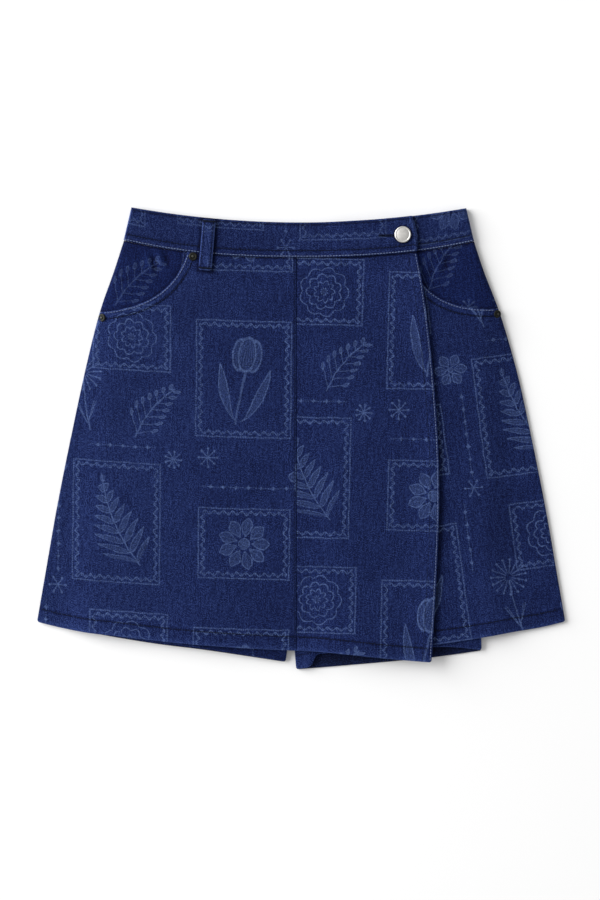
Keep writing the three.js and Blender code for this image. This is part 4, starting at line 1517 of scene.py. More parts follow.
def right_front_relief(spot):
    return rest_waves(spot.x, spot.y, 6) * 0.8 + puckers(spot.top, spot.x + spot.y, 7, 0.4, 7.5, 12) \
        + rim_drop(spot.top, 0.6, 2.0) + pocket_relief(RIGHT_POCKET, spot) \
        + hem_relief(spot.bottom, spot.x, 8) * (0.5 if spot.x < 150 else 1.0)


def right_front_wear_and_painted_light(spot):
    """Wear and painted light at the hem and the pocket, a painted shadow beside the wrap, most of all near the hem,
    and painted shade that makes it a little darker all over.
    """
    beside_wrap = painted_seam_shade(spot.x - wrap_edge_x(spot.y), spot.x, spot.y, 9) if spot.x > 100 else 0.0
    strength = mix(1.1, 0.3, smooth((spot.y + 150) / 250))
    return hem_wear_and_painted_shade(spot) + top_wear_and_painted_light(RIGHT_POCKET, spot) + strength * beside_wrap - 0.22


right_front = Panel("underlap_cloth", right_front_edges(), lie_right, right_front_relief,
                    roll=("right", SIDE_LOW, SIDE_ROLL), top_distance=front_top_distance(RIGHT_POCKET))
right_obj = make_panel(right_front, column_lines(right_front, STEP, (1 - RIGHT_SHARE,), COARSE), ROWS,
                       0.9, 1.4, (("bottom", "right"),), cut(7.5, 96, -66), right_front_wear_and_painted_light)
dress(right_obj, printed_denim, "denim", "front_right_panel")


# %% Make the wrap
WRAP_ROWS = (1.5, 9.4)


def wrap_edges():
    seam_x = CENTRE_SEAM_X + SEAM_GAP / 2
    hem_x, hem_y = FRONT_HEM[-1]
    top_x = wrap_edge_x(WRAP_EDGE[-1][0])

    def right(t):
        y = mix(under_seam_y(top_x), hem_y, t)
        return (wrap_edge_x(y), y)

    return {
        "top": follow(under_seam_y, seam_x, top_x),
        "bottom": follow(front_hem_y, seam_x, hem_x),
        "left": centre_seam(seam_x),
        "right": right,
    }


def wrap_relief(spot):
    return rest_waves(spot.x, spot.y, 12) + puckers(spot.top, spot.x, 13, 0.4, 7.5, 12) \
        + rim_drop(spot.top, 0.45, 1.8) \
        + rim_drop(spot.left, 0.32, 1.6) + puckers(spot.left, spot.y, 14, 0.26, 8, 9) \
        + rim_drop(spot.right, 0.35, 1.6) + raised_edge(spot.right, 10, 0.35, 2.0) \
        + groove(spot.right, WRAP_ROWS[0], 0.25) + groove(spot.right, WRAP_ROWS[1], 0.16) \
        + puckers(spot.right, spot.y, 15, 0.3, 8, 12) + hem_relief(spot.bottom, spot.x, 16)


# Worn at the hem and the free edge, with painted shade under the band and beside the centre seam, and painted shade
# that makes it a little darker all over.
def wrap_wear_and_painted_shade(spot):
    by_band, by_seam = painted_seam_shade(spot.top, spot.x, spot.y, 2.6), painted_seam_shade(spot.left, spot.x, spot.y, 2.0)
    return hem_wear_and_painted_shade(spot) + edge_wear(spot.right, spot.x, spot.y) + 2.2 * by_band + 0.4 * by_seam - 0.2


EDGE_LINES = FINE + (9.0, 10.0, 11.0, 12.4)
wrap = Panel("wrap_front_cloth", wrap_edges(), lie_wrap, wrap_relief)
wrap_obj = make_panel(wrap, column_lines(wrap, STEP, (), FINE, EDGE_LINES), ROWS, 0.95, 1.5,
                      (("bottom", "right"),), cut(-1.4, 58, -30), wrap_wear_and_painted_shade)
dress(wrap_obj, printed_denim, "denim", "wrap_front_panel")

# %% [markdown]
# ## Waistband
# The band is two layers of denim with all the seam allowances inside, so it is nearly three times as thick
# as a panel. It is curved, and its cloth is turned with it: the UV map runs along the band. The front band
# has a keyhole for the button. A boolean could cut that, but here the faces inside the keyhole's outline are
# simply left out before Solidify makes the wall, and thread covers the rim, as on a real buttonhole.

# %% Button and buttonhole sizes
BUTTON_X, BUTTON_Y, BUTTON_RADIUS = 104.7, 210.2, 8.5
HOLE_LEFT, HOLE_Y = 81.0, 209.2
EYE_RADIUS, SLIT_HALF = 3.6, 0.3


def outside_keyhole(at):
    if math.hypot(at.x - BUTTON_X, at.y - BUTTON_Y) < EYE_RADIUS:
        return False
    return not (HOLE_LEFT < at.x < BUTTON_X and abs(at.y - HOLE_Y) < SLIT_HALF)


# %% Make the three bands
def band_edges(left_end, right_end, bow=0.0):
    """Each end is the x of its top corner and of its bottom corner. The right one can bow outwards."""
    def end(corner, bow=0.0):
        line = straight((corner[0], band_top_y(corner[0])), (corner[1], over_seam_y(corner[1])))
        return lambda t: (line(t)[0] + bow * math.sin(math.pi * t), line(t)[1])

    return {"top": follow(band_top_y, left_end[0], right_end[0]),
            "bottom": follow(over_seam_y, left_end[1], right_end[1]),
            "left": end(left_end), "right": end(right_end, bow)}


LEFT_END = (LEAN - WAIST_HALF, LEAN - SEAM_HALF)
RIGHT_END = (LEAN + WAIST_HALF, LEAN + SEAM_HALF)
HIDDEN_END = (UNDERLAP_BAND_END_X, UNDERLAP_BAND_END_X)
WRAP_END = (114.2, 119.6)
END_BOW = 2.4


def wrap_end_x(t):
    """Where the buttoned end lies, from its top corner at 0 to its bottom corner at 1."""
    return mix(WRAP_END[0], WRAP_END[1], t) + END_BOW * math.sin(math.pi * t)


END_SHADE_REACH = 5.0
END_RIDGE = 2.7         # how far inside the end the cloth has faded
BAND_STITCH_LOW, BAND_STITCH_HIGH, BAND_STITCH_TOP = 1.2, 7.0, 2.6
HOLE_LINES = (10, 12, 13.4, 14.2, 14.9, 15.4, 15.9, 16.4, 16.9, 17.4, 17.9, 18.4, 19.1, 20, 21, 22.4)


def band_relief(spot):
    near_end = min(spot.left, spot.right)
    return 0.2 * wave(spot.x, spot.y, 46, 41) + 0.1 * wave(spot.x, spot.y, 14, 42) \
        + rim_drop(spot.top, 0.9, 2.2) + rim_drop(spot.bottom, 0.8, 1.9) + rim_drop(near_end, 0.5, 1.8) \
        + groove(spot.bottom, BAND_STITCH_LOW, 0.3) + groove(spot.bottom, BAND_STITCH_HIGH, 0.22) \
        + groove(spot.top, BAND_STITCH_TOP, 0.26) + puckers(spot.bottom, spot.x, 43, 0.32, 6, 8) \
        + puckers(spot.top, spot.x, 44, 0.2, 7, 7)


def band_uv(shift_u, shift_v):
    """The cloth runs along the band: v is the height over its lower seam."""
    def cloth_uv(spot):
        along = spot.x + 0.09 * spot.x ** 3 / SEAM_HALF ** 2
        return (along + shift_u, spot.bottom + shift_v)

    return cloth_uv


def beside_wrap_end(spot):
    """Pale with wear along the inside of the buttoned end, and a painted shadow on the underlap's band just past it.
    """
    past = spot.x - wrap_end_x(1 - clamp01(spot.bottom / BAND_HEIGHT))
    if past > 0:
        return 1.5 * painted_seam_shade(past, spot.x, spot.y, END_SHADE_REACH)
    return 1.5 * math.exp(-((past + END_RIDGE) / 1.2) ** 2) * (0.75 + 0.5 * wave(spot.x, spot.y, 5, 93))


def band_wear_and_painted_shade(spot):
    edges = max(0.7 * edge_wear(spot.top, spot.x, spot.y), 0.6 * edge_wear(spot.bottom, spot.x, spot.y),
                1.7 * edge_wear(min(spot.left, spot.right), spot.x, spot.y, 1.8))
    # A painted shadow rings the button; painted shade also lies along the stitch rows and beside the belt loop.
    round_button = math.hypot(spot.x - BUTTON_X, spot.y - BUTTON_Y) - BUTTON_RADIUS
    return edges + beside_wrap_end(spot) - 1.3 * (1 - smooth((round_button - 0.2) / 1.6)) \
        + painted_row_shading(spot.bottom, BAND_STITCH_HIGH, 0.6) + painted_row_shading(spot.top, BAND_STITCH_TOP, 0.6) \
        + painted_loop_shadow(spot.x, spot.y)


def back_band_relief(spot):
    return 0.1 * wave(spot.x, spot.y, 46, 45) + rim_drop(min(spot.top, spot.bottom), 0.2, 2)


def make_band(name, ends, lie, relief, rows, shift=(0, 0), roll=None, shell=2.8):
    panel = Panel(name, band_edges(*ends), lie, relief, BAND_THICKNESS, roll)
    obj = make_panel(panel, column_lines(panel), rows, shell, cloth_uv=band_uv(*shift), wear=band_wear_and_painted_shade)
    dress(obj, band_denim, "denim_band", name.replace("_cloth", ""))


BAND_SIDE_LOW, BAND_ROLL = LIE_BAND + 1.4, 2.6
band_rows = (FINE, STEP, FINE)
make_band("waistband_back_cloth", (LEFT_END, RIGHT_END), lie_back, back_band_relief, (COARSE, 5, COARSE),
          shell=2.6)
make_band("waistband_underlap_cloth", (HIDDEN_END, RIGHT_END), lie_underlap_band, band_relief, band_rows,
          (30, -128), ("right", BAND_SIDE_LOW, BAND_ROLL))

# %% The front band, with close columns round its keyhole
front_width = WRAP_END[1] - LEFT_END[1]
hole_from, hole_to = HOLE_LEFT - LEFT_END[1] - 4, BUTTON_X - LEFT_END[1] + 8
HOLE_COLUMNS = 44
plain = [d for d in lines(front_width, STEP) if not hole_from < d < hole_to]
extra = [mix(hole_from, hole_to, k / HOLE_COLUMNS) for k in range(HOLE_COLUMNS + 1)]
front_columns = [d / front_width for d in sorted(plain + extra)]
front_band = Panel("waistband_front_cloth", band_edges(LEFT_END, WRAP_END, END_BOW), lie_front_band,
                   band_relief, BAND_THICKNESS, ("left", BAND_SIDE_LOW, BAND_ROLL))
band_obj = make_panel(front_band, [d * front_band.width for d in front_columns],
                      (FINE + HOLE_LINES, STEP, FINE), 2.8, cloth_uv=band_uv(20, -150), wear=band_wear_and_painted_shade,
                      keep=outside_keyhole)
dress(band_obj, band_denim, "denim_band", "waistband_front")

# %% [markdown]
# ### Belt loop
# The loop is a folded strip, tacked at both ends, that bows up a little between them. Its height is the
# highest cloth under it plus that bow, so it never sinks into the band's edge.

# %% Make the belt loop
LOOP_THICKNESS, LOOP_ARCH = 1.9, 1.0
LOOP_FOLD, LOOP_FOLD_EXTRA = 5.0, 0.7
LOOP_TACK = 2.2         # from an end to the middle of its bar tack
LOOP_STATIONS = 12
loop_side = Vector((loop_way.y, -loop_way.x)).normalized() * (-LOOP_WIDTH / 2)


def left_face_height(x, y):
    return lie_front_band(x, y) + BAND_THICKNESS if y > waist_seam_y(x) else lie_left(x, y) + CLOTH


def loop_seat(f):
    nearby = (LOOP_TOP + loop_way * g for g in (f - 0.5 / LOOP_STATIONS, f, f + 0.5 / LOOP_STATIONS))
    return max(left_face_height(at.x + loop_side.x * k, at.y + loop_side.y * k)
               for at in nearby for k in (-1, 0, 1))


loop_seats = [loop_seat(k / LOOP_STATIONS) for k in range(LOOP_STATIONS + 1)]


def lie_loop(x, y):
    f = clamp01((Vector((x, y)) - LOOP_TOP).dot(loop_way) / loop_way.length_squared)
    k = min(int(f * LOOP_STATIONS), LOOP_STATIONS - 1)
    seat = mix(loop_seats[k], loop_seats[k + 1], f * LOOP_STATIONS - k)
    return seat + SEAM_GAP + LOOP_ARCH * math.sqrt(math.sin(math.pi * f))


def loop_relief(spot):
    near_end, near_side = min(spot.top, spot.bottom), min(spot.left, spot.right)
    folded = LOOP_FOLD_EXTRA * (1 - smooth((near_end - LOOP_FOLD) / 2))
    tack = -0.35 * math.exp(-((near_end - LOOP_TACK) / 1.1) ** 2)
    return folded + tack + rim_drop(near_side, 0.75, 2.4) + rim_drop(near_end, 0.5, 1.4) \
        + groove(near_side, 2.0, 0.25) + puckers(near_side, spot.y, 51, 0.2, 5, 5) \
        + 0.12 * wave(spot.x, spot.y, 12, 52)


def loop_wear_and_painted_light(spot):
    near_side, near_end = min(spot.left, spot.right), min(spot.top, spot.bottom)
    corner = math.exp(-(math.hypot(near_side - 1.2, spot.bottom - 0.8) / 1.4) ** 2)
    # The right edge is painted paler than the left: partly wear, and partly a painted highlight that lifts the lamp's
    # shade on that side. Painted shade lies along the side rows and at the tacks.
    worn = 1.3 if spot.left < spot.right else 2.7
    return 0.45 + worn * edge_wear(min(near_side, spot.bottom), spot.x, spot.y, 1.5) + 3.4 * corner \
        + painted_row_shading(near_side, 2.6, 0.5, 0.9) + painted_row_shading(near_end, 2.6, 1.0, 2.0)


def loop_edge(k):
    side = loop_side * k
    return lambda t: tuple(LOOP_TOP + loop_way * t + side)


def loop_end(at):
    return lambda s: tuple(at + loop_side * mix(-1, 1, s))


loop_panel = Panel("belt_loop_cloth", {"top": loop_end(LOOP_TOP), "bottom": loop_end(LOOP_BOTTOM),
                                       "left": loop_edge(-1), "right": loop_edge(1)},
                   lie_loop, loop_relief, LOOP_THICKNESS)
LOOP_LINES = (0, 0.4, 0.9, 1.5, 2.0, 2.6, 3.4, 4.4)
LOOP_END_LINES = LOOP_LINES + (5.4, 6.4, 7.4)
all_corners = [(end, side) for end in ("top", "bottom") for side in ("left", "right")]
loop_obj = make_panel(loop_panel, lines(LOOP_WIDTH, 1.2, LOOP_LINES, LOOP_LINES),
                      (LOOP_END_LINES, 1.6, LOOP_END_LINES), 1.7, rounded=all_corners,
                      cloth_uv=cut(4, 122, -34), wear=loop_wear_and_painted_light)
dress(loop_obj, band_denim, "denim_band", "belt_loop")

# %% [markdown]
# ## Thread
# A row of stitches is many short pillows of thread that dip into the cloth at both ends. Each is a small
# sphere, stretched along the row and half sunk into the cloth, and all stitches of one colour are one joined
# mesh. A ray straight down on the cloth finds the height, so a stitch rides over every pucker.

# %% A pile of stitches
STITCH, STITCH_GAP, THREAD_THICK = 2.55, 0.5, 0.62
ROW_THICK = {"light": 0.92, "dark": 0.95}
HIGH = 0.42             # half a stitch's height, as a share of its thickness
ABOVE_ALL = 40          # a height over all the cloth, in millimetres
HANDFUL = 40
dice = random.Random(11)


def surface(cloth, x, y):
    """The point of a panel's outer face under x and y."""
    tree = cloth_tops[cloth]
    hit = tree.ray_cast(Vector((x, y, ABOVE_ALL)) * MM, Vector((0, 0, -1)))[0]
    if hit is None:
        hit = tree.find_nearest(Vector((x, y, 8)) * MM)[0]
    return hit / MM


class Thread:
    """Stitches of one colour, made a handful at a time: an operator walks the whole mesh that it is given."""

    def __init__(self):
        self.all, self.handful, self.count = bmesh.new(), bmesh.new(), 0

    def stitch(self, start, end, thick, sink=0.1):
        way = end - start
        along = way.normalized()
        up = (Vector((0, 0, 1)) - along * along.z).normalized()
        turn = Matrix((along, up.cross(along), up)).transposed().to_4x4()
        stretch = Matrix.Diagonal((way.length / 2, thick / 2, thick * HIGH, 1))
        middle = (start + end) / 2 + up * (thick * HIGH - sink)
        place = Matrix.Scale(MM, 4) @ Matrix.Translation(middle) @ turn @ stretch
        bmesh.ops.create_uvsphere(self.handful, u_segments=6, v_segments=5, radius=1.0,
                                  matrix=place @ Matrix.Rotation(math.pi / 2, 4, "Y"))
        self.count += 1
        if self.count % HANDFUL == 0:
            self.gather()

    def gather(self):
        mesh = bpy.data.meshes.new("handful")
        self.handful.to_mesh(mesh)
        self.handful.clear()
        self.all.from_mesh(mesh)
        bpy.data.meshes.remove(mesh)


THREAD = {"light": Thread(), "dark": Thread()}


# %% Sew a row
def walk(path, step):
    """Points at even distances along a path of short straight stretches."""
    points = [Vector(p) for p in path]
    travelled, target = 0.0, 0.0
    for a, b in zip(points, points[1:]):
        stretch = (b - a).length
        while target <= travelled + stretch and stretch > 0:
            yield a.lerp(b, (target - travelled) / stretch)
            target += step
        travelled += stretch


def sew(colour, cloth, path, thick=THREAD_THICK):
    """A row of stitches along a path of (x, y) points on a panel."""
    places = list(walk(path, STITCH + STITCH_GAP))
    for a, b in zip(places, places[1:]):
        way = (b - a).normalized()
        wobble = Vector((-way.y, way.x)) * dice.uniform(-0.09, 0.09)
        start, end = a + wobble, a + way * STITCH * dice.uniform(0.94, 1.03) + wobble
        THREAD[colour].stitch(surface(cloth, *start), surface(cloth, *end), thick)
    return len(places) - 1


def graph(curve, start, end, step=3.0):
    """The path of y = curve(x) from one x to another."""
    count = max(2, round(abs(end - start) / step))
    return [(mix(start, end, k / count), curve(mix(start, end, k / count))) for k in range(count + 1)]


# %% Rows on the bands
sewn = 0
for cloth, start, end, short in (
        ("waistband_front_cloth", LEFT_END[1] + 0.8, WRAP_END[1] - 1.5, 5),
        ("waistband_underlap_cloth", WRAP_END[1] - 8, RIGHT_END[1] - 0.8, 9)):
    for colour, height in (("light", BAND_STITCH_LOW), ("dark", BAND_STITCH_HIGH)):
        path = graph(lambda x: over_seam_y(x) + height, start, end)
        sewn += sew(colour, cloth, path, ROW_THICK[colour])
    path = graph(lambda x: band_top_y(x) - BAND_STITCH_TOP, start + 7, end - short)
    sewn += sew("dark", cloth, path)
band_end_row = [(wrap_end_x(f) - 1.5, mix(band_top_y(WRAP_END[0]), waist_seam_y(WRAP_END[1]), f))
                for f in (0.08, 0.22, 0.36, 0.5, 0.65, 0.8, 0.94)]
sewn += sew("dark", "waistband_front_cloth", band_end_row)

# %% Rows along the pockets and the wrap's edge
for cloth, pocket in (("front_left_cloth", LEFT_POCKET), ("underlap_cloth", RIGHT_POCKET)):
    for colour, drop, last in (("light", POCKET_ROWS[0], 0.975), ("dark", POCKET_ROWS[1], 0.955)):
        path = [pocket_point(pocket, mix(0.02 + drop * 0.004, last, k / 60), drop) for k in range(61)]
        sewn += sew(colour, cloth, path, 0.8 if colour == "light" else ROW_THICK[colour])
for colour, inset, thick in (("light", WRAP_ROWS[0], THREAD_THICK), ("dark", WRAP_ROWS[1], 0.45)):
    path = [(wrap_edge_x(y) - inset, y) for y in (mix(190.5, -229.5, k / 120) for k in range(121))]
    sewn += sew(colour, "wrap_front_cloth", path, thick)
centre_row = [(CENTRE_SEAM_X - 2.3, y) for y in (186, 100, 0, -100, -217)]
sewn += sew("dark", "front_left_cloth", centre_row, 0.5)

# %% Rows round the hems: the cloth, its hem, where the row starts and ends, its thickness and its step
for cloth, hem, start, end, thick, step in (
        ("front_left_cloth", front_hem_y, -268, CENTRE_SEAM_X - 1, ROW_THICK["dark"], 3.0),
        ("wrap_front_cloth", front_hem_y, CENTRE_SEAM_X + 1, 132.6, ROW_THICK["dark"], 3.0),
        ("underlap_cloth", underlap_hem_y, 132, 267, ROW_THICK["dark"], 3.0),
        ("leg_left_front_cloth", leg_hem_y(LEFT_LEG), -205, -18, THREAD_THICK, 3.0),
        ("leg_right_front_cloth", leg_hem_y(RIGHT_LEG), -3.5, 180, THREAD_THICK, 1.5)):
    sewn += sew("dark", cloth, graph(lambda x: hem(x) + HEM_ROW, start, end, step), thick)
print("stitches in rows:", sewn)


# %% Bar tacks on the loop, and the buttonhole
TACK_SINK = 0.12
EYE_STITCHES = 26


def bar_tack(cloth, start, end, height, thick, pitch=0.55):
    """Close stitches side by side, each straight across the line from start to end."""
    a, b = Vector(start), Vector(end)
    way = (b - a).normalized()
    across = Vector((-way.y, way.x)) * height / 2
    for at in walk((a, b), pitch):
        lean = way * dice.uniform(-0.15, 0.15)
        THREAD["dark"].stitch(surface(cloth, *(at - across - lean)),
                              surface(cloth, *(at + across + lean)), thick, TACK_SINK)


loop_length = loop_way.length
for from_top in (LOOP_TACK, loop_length - LOOP_TACK):
    at = LOOP_TOP + loop_way * (from_top / loop_length)
    bar_tack("belt_loop_cloth", at - loop_side * 0.95, at + loop_side * 0.95, 2.1, 0.66)
for k in (-1, 1):
    row = [tuple(LOOP_TOP + loop_way * f + loop_side * k * (1 - 2.0 / (LOOP_WIDTH / 2)))
           for f in (0.06, 0.5, 0.94)]
    sewn += sew("dark", "belt_loop_cloth", row)
for k in (-1, 1):
    start, end = HOLE_Y + k * (SLIT_HALF + 0.35), HOLE_Y + k * (SLIT_HALF + 0.8)
    bar_tack("waistband_front_cloth", (HOLE_LEFT - 1.2, start), (BUTTON_X - 3, end), 1.1, 0.46, 0.5)
for k in range(EYE_STITCHES):
    turn = 2 * math.pi * k / EYE_STITCHES
    way = Vector((math.cos(turn), math.sin(turn)))
    inner = Vector((BUTTON_X, BUTTON_Y)) + way * (EYE_RADIUS + 0.2)
    outer = inner + way * 1.7
    THREAD["dark"].stitch(surface("waistband_front_cloth", *inner),
                          surface("waistband_front_cloth", *outer), 0.6, TACK_SINK)


# %% Thread as a material
def thread_material(name, dark, light, roughness):
    material, tree, shader = new_material(name)
    place = add_node(tree, "ShaderNodeTexCoord").outputs["Object"]
    strands = noise_at(tree, place, 900.0, 2.0, 0.6).ramp(0.3, 0.7)
    fading = noise_at(tree, place, 60.0, 2.0).ramp(0.3, 0.7)
    share = strands * 0.6 + fading * 0.4
    feed_all(tree, shader.inputs, {
        "Base Color": blend_colours(tree, share, (*dark, 1), (*light, 1)),
        "Roughness": strands * -0.15 + roughness, "Specular IOR Level": 0.12,
        "Normal": bumped(tree, strands, 0.4, 0.0001),
    })
    return material


thread_finish = {
    "light": thread_material("blue-grey thread", (0.070, 0.100, 0.215), (0.19, 0.24, 0.40), 0.85),
    "dark": thread_material("dark thread", (0.0016, 0.0028, 0.010), (0.006, 0.010, 0.026), 0.9),
}
for colour, thread in THREAD.items():
    thread.gather()
    obj = new_object(f"stitching_{colour}", thread.all)
    dress(obj, thread_finish[colour], "thread")
    print(obj.name, len(obj.data.polygons), "faces")

# %% [markdown]
# ## Button and rivets
# A shank button and a rivet are turned parts, so each is a profile spun round its axis, and its sharp
# corners are bevelled so that they catch the light. The button's face is plain, with a rolled rim.


# %% Spin a profile
BEVEL_WIDTH, BEVEL_ANGLE = 0.1, 24
AT_AXIS = 0.2           # an edge nearer the axis than this is never bevelled


def spun(name, profile, centre, steps, lean=0.0):
    """profile: (radius, height) pairs in millimetres, from the axis below up. lean: degrees towards +x."""
    bm = bmesh.new()
    verts = [bm.verts.new((r, 0, z)) for r, z in profile]
    edges = [bm.edges.new(pair) for pair in zip(verts, verts[1:])]
    bmesh.ops.spin(bm, geom=verts + edges, cent=(0, 0, 0), axis=(0, 0, 1), dvec=(0, 0, 0),
                   angle=2 * math.pi, steps=steps, use_merge=True, use_normal_flip=False,
                   use_duplicate=False)
    bmesh.ops.remove_doubles(bm, verts=bm.verts, dist=1e-4)
    bmesh.ops.recalc_face_normals(bm, faces=bm.faces)
    sharp = [edge for edge in bm.edges if len(edge.link_faces) == 2
             and edge.calc_face_angle() > math.radians(BEVEL_ANGLE)
             and edge.verts[0].co.xy.length > AT_AXIS]
    bmesh.ops.bevel(bm, geom=sharp, offset=BEVEL_WIDTH, offset_type="OFFSET", segments=2, profile=0.5,
                    affect="EDGES", clamp_overlap=True, material=-1)
    bmesh.ops.rotate(bm, cent=(0, 0, 0), matrix=Matrix.Rotation(math.radians(lean), 3, "Y"), verts=bm.verts)
    bmesh.ops.translate(bm, vec=centre, verts=bm.verts)
    bmesh.ops.scale(bm, vec=(MM, MM, MM), verts=bm.verts)
    return new_object(name, bm)


def metal(name, dark, light, roughness, worn=0.0):
    """A plated finish: fine grain, broad clouds, and paler high spots where `worn` is above 0."""
    material, tree, shader = new_material(name)
    place = add_node(tree, "ShaderNodeTexCoord").outputs["Object"]
    grain = noise_at(tree, place, 1500.0, 3.0, 0.6)
    clouds = noise_at(tree, place, 240.0, 3.0, 0.6).ramp(0.3, 0.7)
    share = clouds * 0.45 + grain * 0.25 + wear_and_shade_of(tree) * worn
    feed_all(tree, shader.inputs, {
        "Base Color": blend_colours(tree, share, (*dark, 1), (*light, 1)), "Metallic": 1.0,
        "Roughness": grain * 0.16 + clouds * 0.08 + roughness,
        "Normal": bumped(tree, grain + clouds * 0.6, 0.25, 0.00006),
    })
    return material


# %% Make the button
button_low, button_high = (v.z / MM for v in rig.box("button"))
cap_under = lie_front_band(BUTTON_X, BUTTON_Y) + BAND_THICKNESS + SEAM_GAP
cap_top = button_high - 0.35
POST_RADIUS = 2.6
# The cap's lower part: inwards from the rim, and up from its underside. Then the rolled rim, and the face.
CAP_SIDE = [(1.2, 0), (0.3, 0.35), (0, 0.95)]
CAP_RIM = [(0.25, -0.45), (0.8, 0), (1.35, -0.1), (1.75, -0.42), (2.2, -0.3)]
CAP_FACE = [(0.5, 0.06), (0.25, 0.22), (0, 0.27)]
button_profile = [(0, button_low), (POST_RADIUS, button_low), (POST_RADIUS, cap_under)]
button_profile += [(BUTTON_RADIUS - inwards, cap_under + up) for inwards, up in CAP_SIDE]
button_profile += [(BUTTON_RADIUS - inwards, cap_top + up) for inwards, up in CAP_RIM]
button_profile += [(BUTTON_RADIUS * share, cap_top + up) for share, up in CAP_FACE]
button_obj = spun("shank_button", button_profile, (BUTTON_X, BUTTON_Y, 0), 64)
satin_nickel = metal("satin nickel", (0.66, 0.645, 0.62), (0.86, 0.845, 0.82), 0.42)
dress(button_obj, satin_nickel, "nickel", "button")

# %% Make the rivets
dark_brass = metal("dark antique brass", (0.003, 0.004, 0.0035), (0.066, 0.067, 0.058), 0.5, 0.8)
RIVET_RADIUS = 4.5
WORN_FROM, WORN_OVER = 1.3, 0.45    # heights between which the plating is rubbed through
RIVET_PROFILE = [(0, 0), (RIVET_RADIUS - 0.2, 0), (RIVET_RADIUS, 0.35), (RIVET_RADIUS - 0.35, 0.95),
                 (RIVET_RADIUS * 0.78, 1.28), (RIVET_RADIUS * 0.62, 1.22), (RIVET_RADIUS * 0.46, 0.86),
                 (RIVET_RADIUS * 0.38, 0.84), (RIVET_RADIUS * 0.33, 1.3), (RIVET_RADIUS * 0.22, 1.78),
                 (0, 1.9)]
# A rivet at a side seam leans outwards with the cloth that rolls down there.
for node, lean, out, sink in (("rivet_pocket_top_left", 0, 0, 0.4),
                              ("rivet_pocket_side_left", -34, -1.2, 2.2),
                              ("rivet_pocket_side_right", 34, 0.9, 2.2)):
    low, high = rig.box(node)
    centre = Vector(((low.x + high.x) / 2, (low.y + high.y) / 2, low.z)) / MM + Vector((out, 0, -sink))
    rivet_obj = spun(node.replace("rivet", "rivet_cap"), RIVET_PROFILE, centre, 40, lean)
    rubbed = rivet_obj.data.attributes.new("wear", "FLOAT", "POINT")
    upright = Matrix.Rotation(math.radians(-lean), 3, "Y")
    for vert, value in zip(rivet_obj.data.vertices, rubbed.data):
        value.value = smooth(((upright @ (vert.co / MM - centre)).z - WORN_FROM) / WORN_OVER)
    dress(rivet_obj, dark_brass, "dark_brass", node)
print("hardware:", [name for name in pieces if "button" in name or "rivet" in name])

# %% [markdown]
# ## Cloth facts
# Each cloth piece is declared as a laid sheet with the size of its cut: the smallest upright rectangle round
# it, and the area inside its outline.

RESTS_ON = {
    "skirt_back_cloth": ["floor"],
    "leg_left_back_cloth": ["skirt_back_cloth"],
    "leg_right_back_cloth": ["skirt_back_cloth"],
    "leg_left_front_cloth": ["leg_left_back_cloth"],
    "leg_right_front_cloth": ["leg_right_back_cloth"],
    "pocket_facing_left_cloth": ["leg_left_front_cloth"],
    "pocket_facing_right_cloth": ["leg_right_front_cloth"],
    "front_left_cloth": ["leg_left_front_cloth", "pocket_facing_left_cloth"],
    "underlap_cloth": ["leg_right_front_cloth", "pocket_facing_right_cloth"],
    "wrap_front_cloth": ["underlap_cloth"],
    "waistband_back_cloth": ["floor"],
    "waistband_underlap_cloth": ["waistband_back_cloth"],
    "waistband_front_cloth": ["waistband_underlap_cloth", "waistband_back_cloth"],
    "belt_loop_cloth": ["waistband_front_cloth", "front_left_cloth"],
}
for name, (panel, obj) in cloth_panels.items():
    xs = [vert.co.x for vert in obj.data.vertices]
    ys = [vert.co.y for vert in obj.data.vertices]
    size = (max(xs) - min(xs), max(ys) - min(ys))
    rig.sheet(obj, flat=size, held="laid", rests_on=RESTS_ON[name], area=panel.flat_area())
    print(name, [round(d, 3) for d in size])

# %% [markdown]
# ## Floor, light and camera
# The skort lies on a plain white floor. One large soft lamp stands to the upper left, high enough that the
# cloth is lit evenly and low enough that the layers cast short shadows to the lower right. A pale world fills
# those shadows. The camera looks straight down, as for a picture of clothes laid flat.

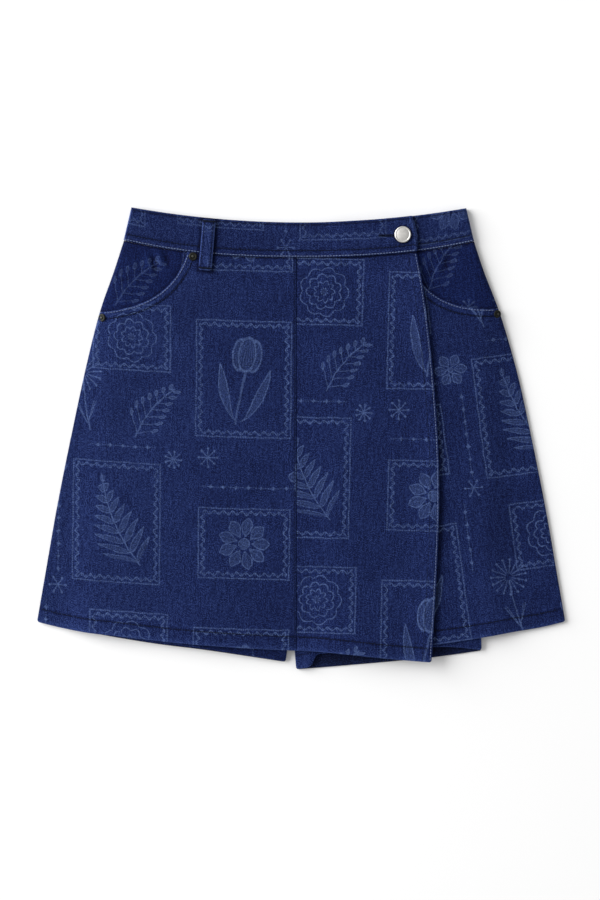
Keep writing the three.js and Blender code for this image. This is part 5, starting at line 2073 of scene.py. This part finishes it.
# %% Lay the floor
FLOOR_DEPTH = 0.0003    # metres under the cloth, so that the two never share a plane
FLOOR_HALF = 6.0
bm = bmesh.new()
bmesh.ops.create_grid(bm, x_segments=1, y_segments=1, size=FLOOR_HALF,
                      matrix=Matrix.Translation((0, 0, cad_low.z - FLOOR_DEPTH)))
floor = new_object("floor", bm)
floor_paper, paper_tree, paper_shader = new_material("white paper")
feed_all(paper_tree, paper_shader.inputs, {"Base Color": (0.93, 0.93, 0.93, 1), "Roughness": 0.9,
                                           "Specular IOR Level": 0.1})
floor.data.materials.append(floor_paper)
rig.stage(floor)

# %% Light it
LAMP_PLACE, LAMP_SIZE, LAMP_POWER = Vector((-6.9, 2.5, 2.9)), 7.8, 1360
WORLD_STRENGTH = 0.47
lamp_data = bpy.data.lights.new("key", "AREA")
lamp_data.shape, lamp_data.size, lamp_data.energy = "DISK", LAMP_SIZE, LAMP_POWER
lamp = bpy.data.objects.new("key", lamp_data)
lamp.location = LAMP_PLACE
lamp.rotation_euler = (-LAMP_PLACE).to_track_quat("-Z", "Y").to_euler()
bpy.context.scene.collection.objects.link(lamp)
world = bpy.data.worlds.new("pale room")
world.use_nodes = True
backdrop = world.node_tree.nodes["Background"]
backdrop.inputs["Color"].default_value = (1.0, 1.0, 1.0, 1)
backdrop.inputs["Strength"].default_value = WORLD_STRENGTH
bpy.context.scene.world = world
bpy.context.scene.view_settings.view_transform = "Standard"
bpy.context.scene.view_settings.look = "None"

# %% Aim the camera
CAMERA_X, CAMERA_Y, CAMERA_HEIGHT = -0.0012, -0.0119, 2.2
PICTURE_HIGH = 0.932    # metres of floor from the lower edge of the view to the upper
camera_data = bpy.data.cameras.new("camera")
camera_data.sensor_width = 36
camera_data.lens = camera_data.sensor_width * CAMERA_HEIGHT / PICTURE_HIGH
camera = bpy.data.objects.new("camera", camera_data)
camera.location = (CAMERA_X, CAMERA_Y, CAMERA_HEIGHT)
bpy.context.scene.collection.objects.link(camera)
bpy.context.scene.camera = camera

# %% Measure the sizes, write them to extents.json and finish
seen_low, seen_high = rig.bounds()
with open("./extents.json", "w") as file:
    json.dump({"cad": [list(cad_low), list(cad_high)], "visual": [list(seen_low), list(seen_high)]}, file)
print("visual model in metres:", [round(b - a, 4) for a, b in zip(seen_low, seen_high)])
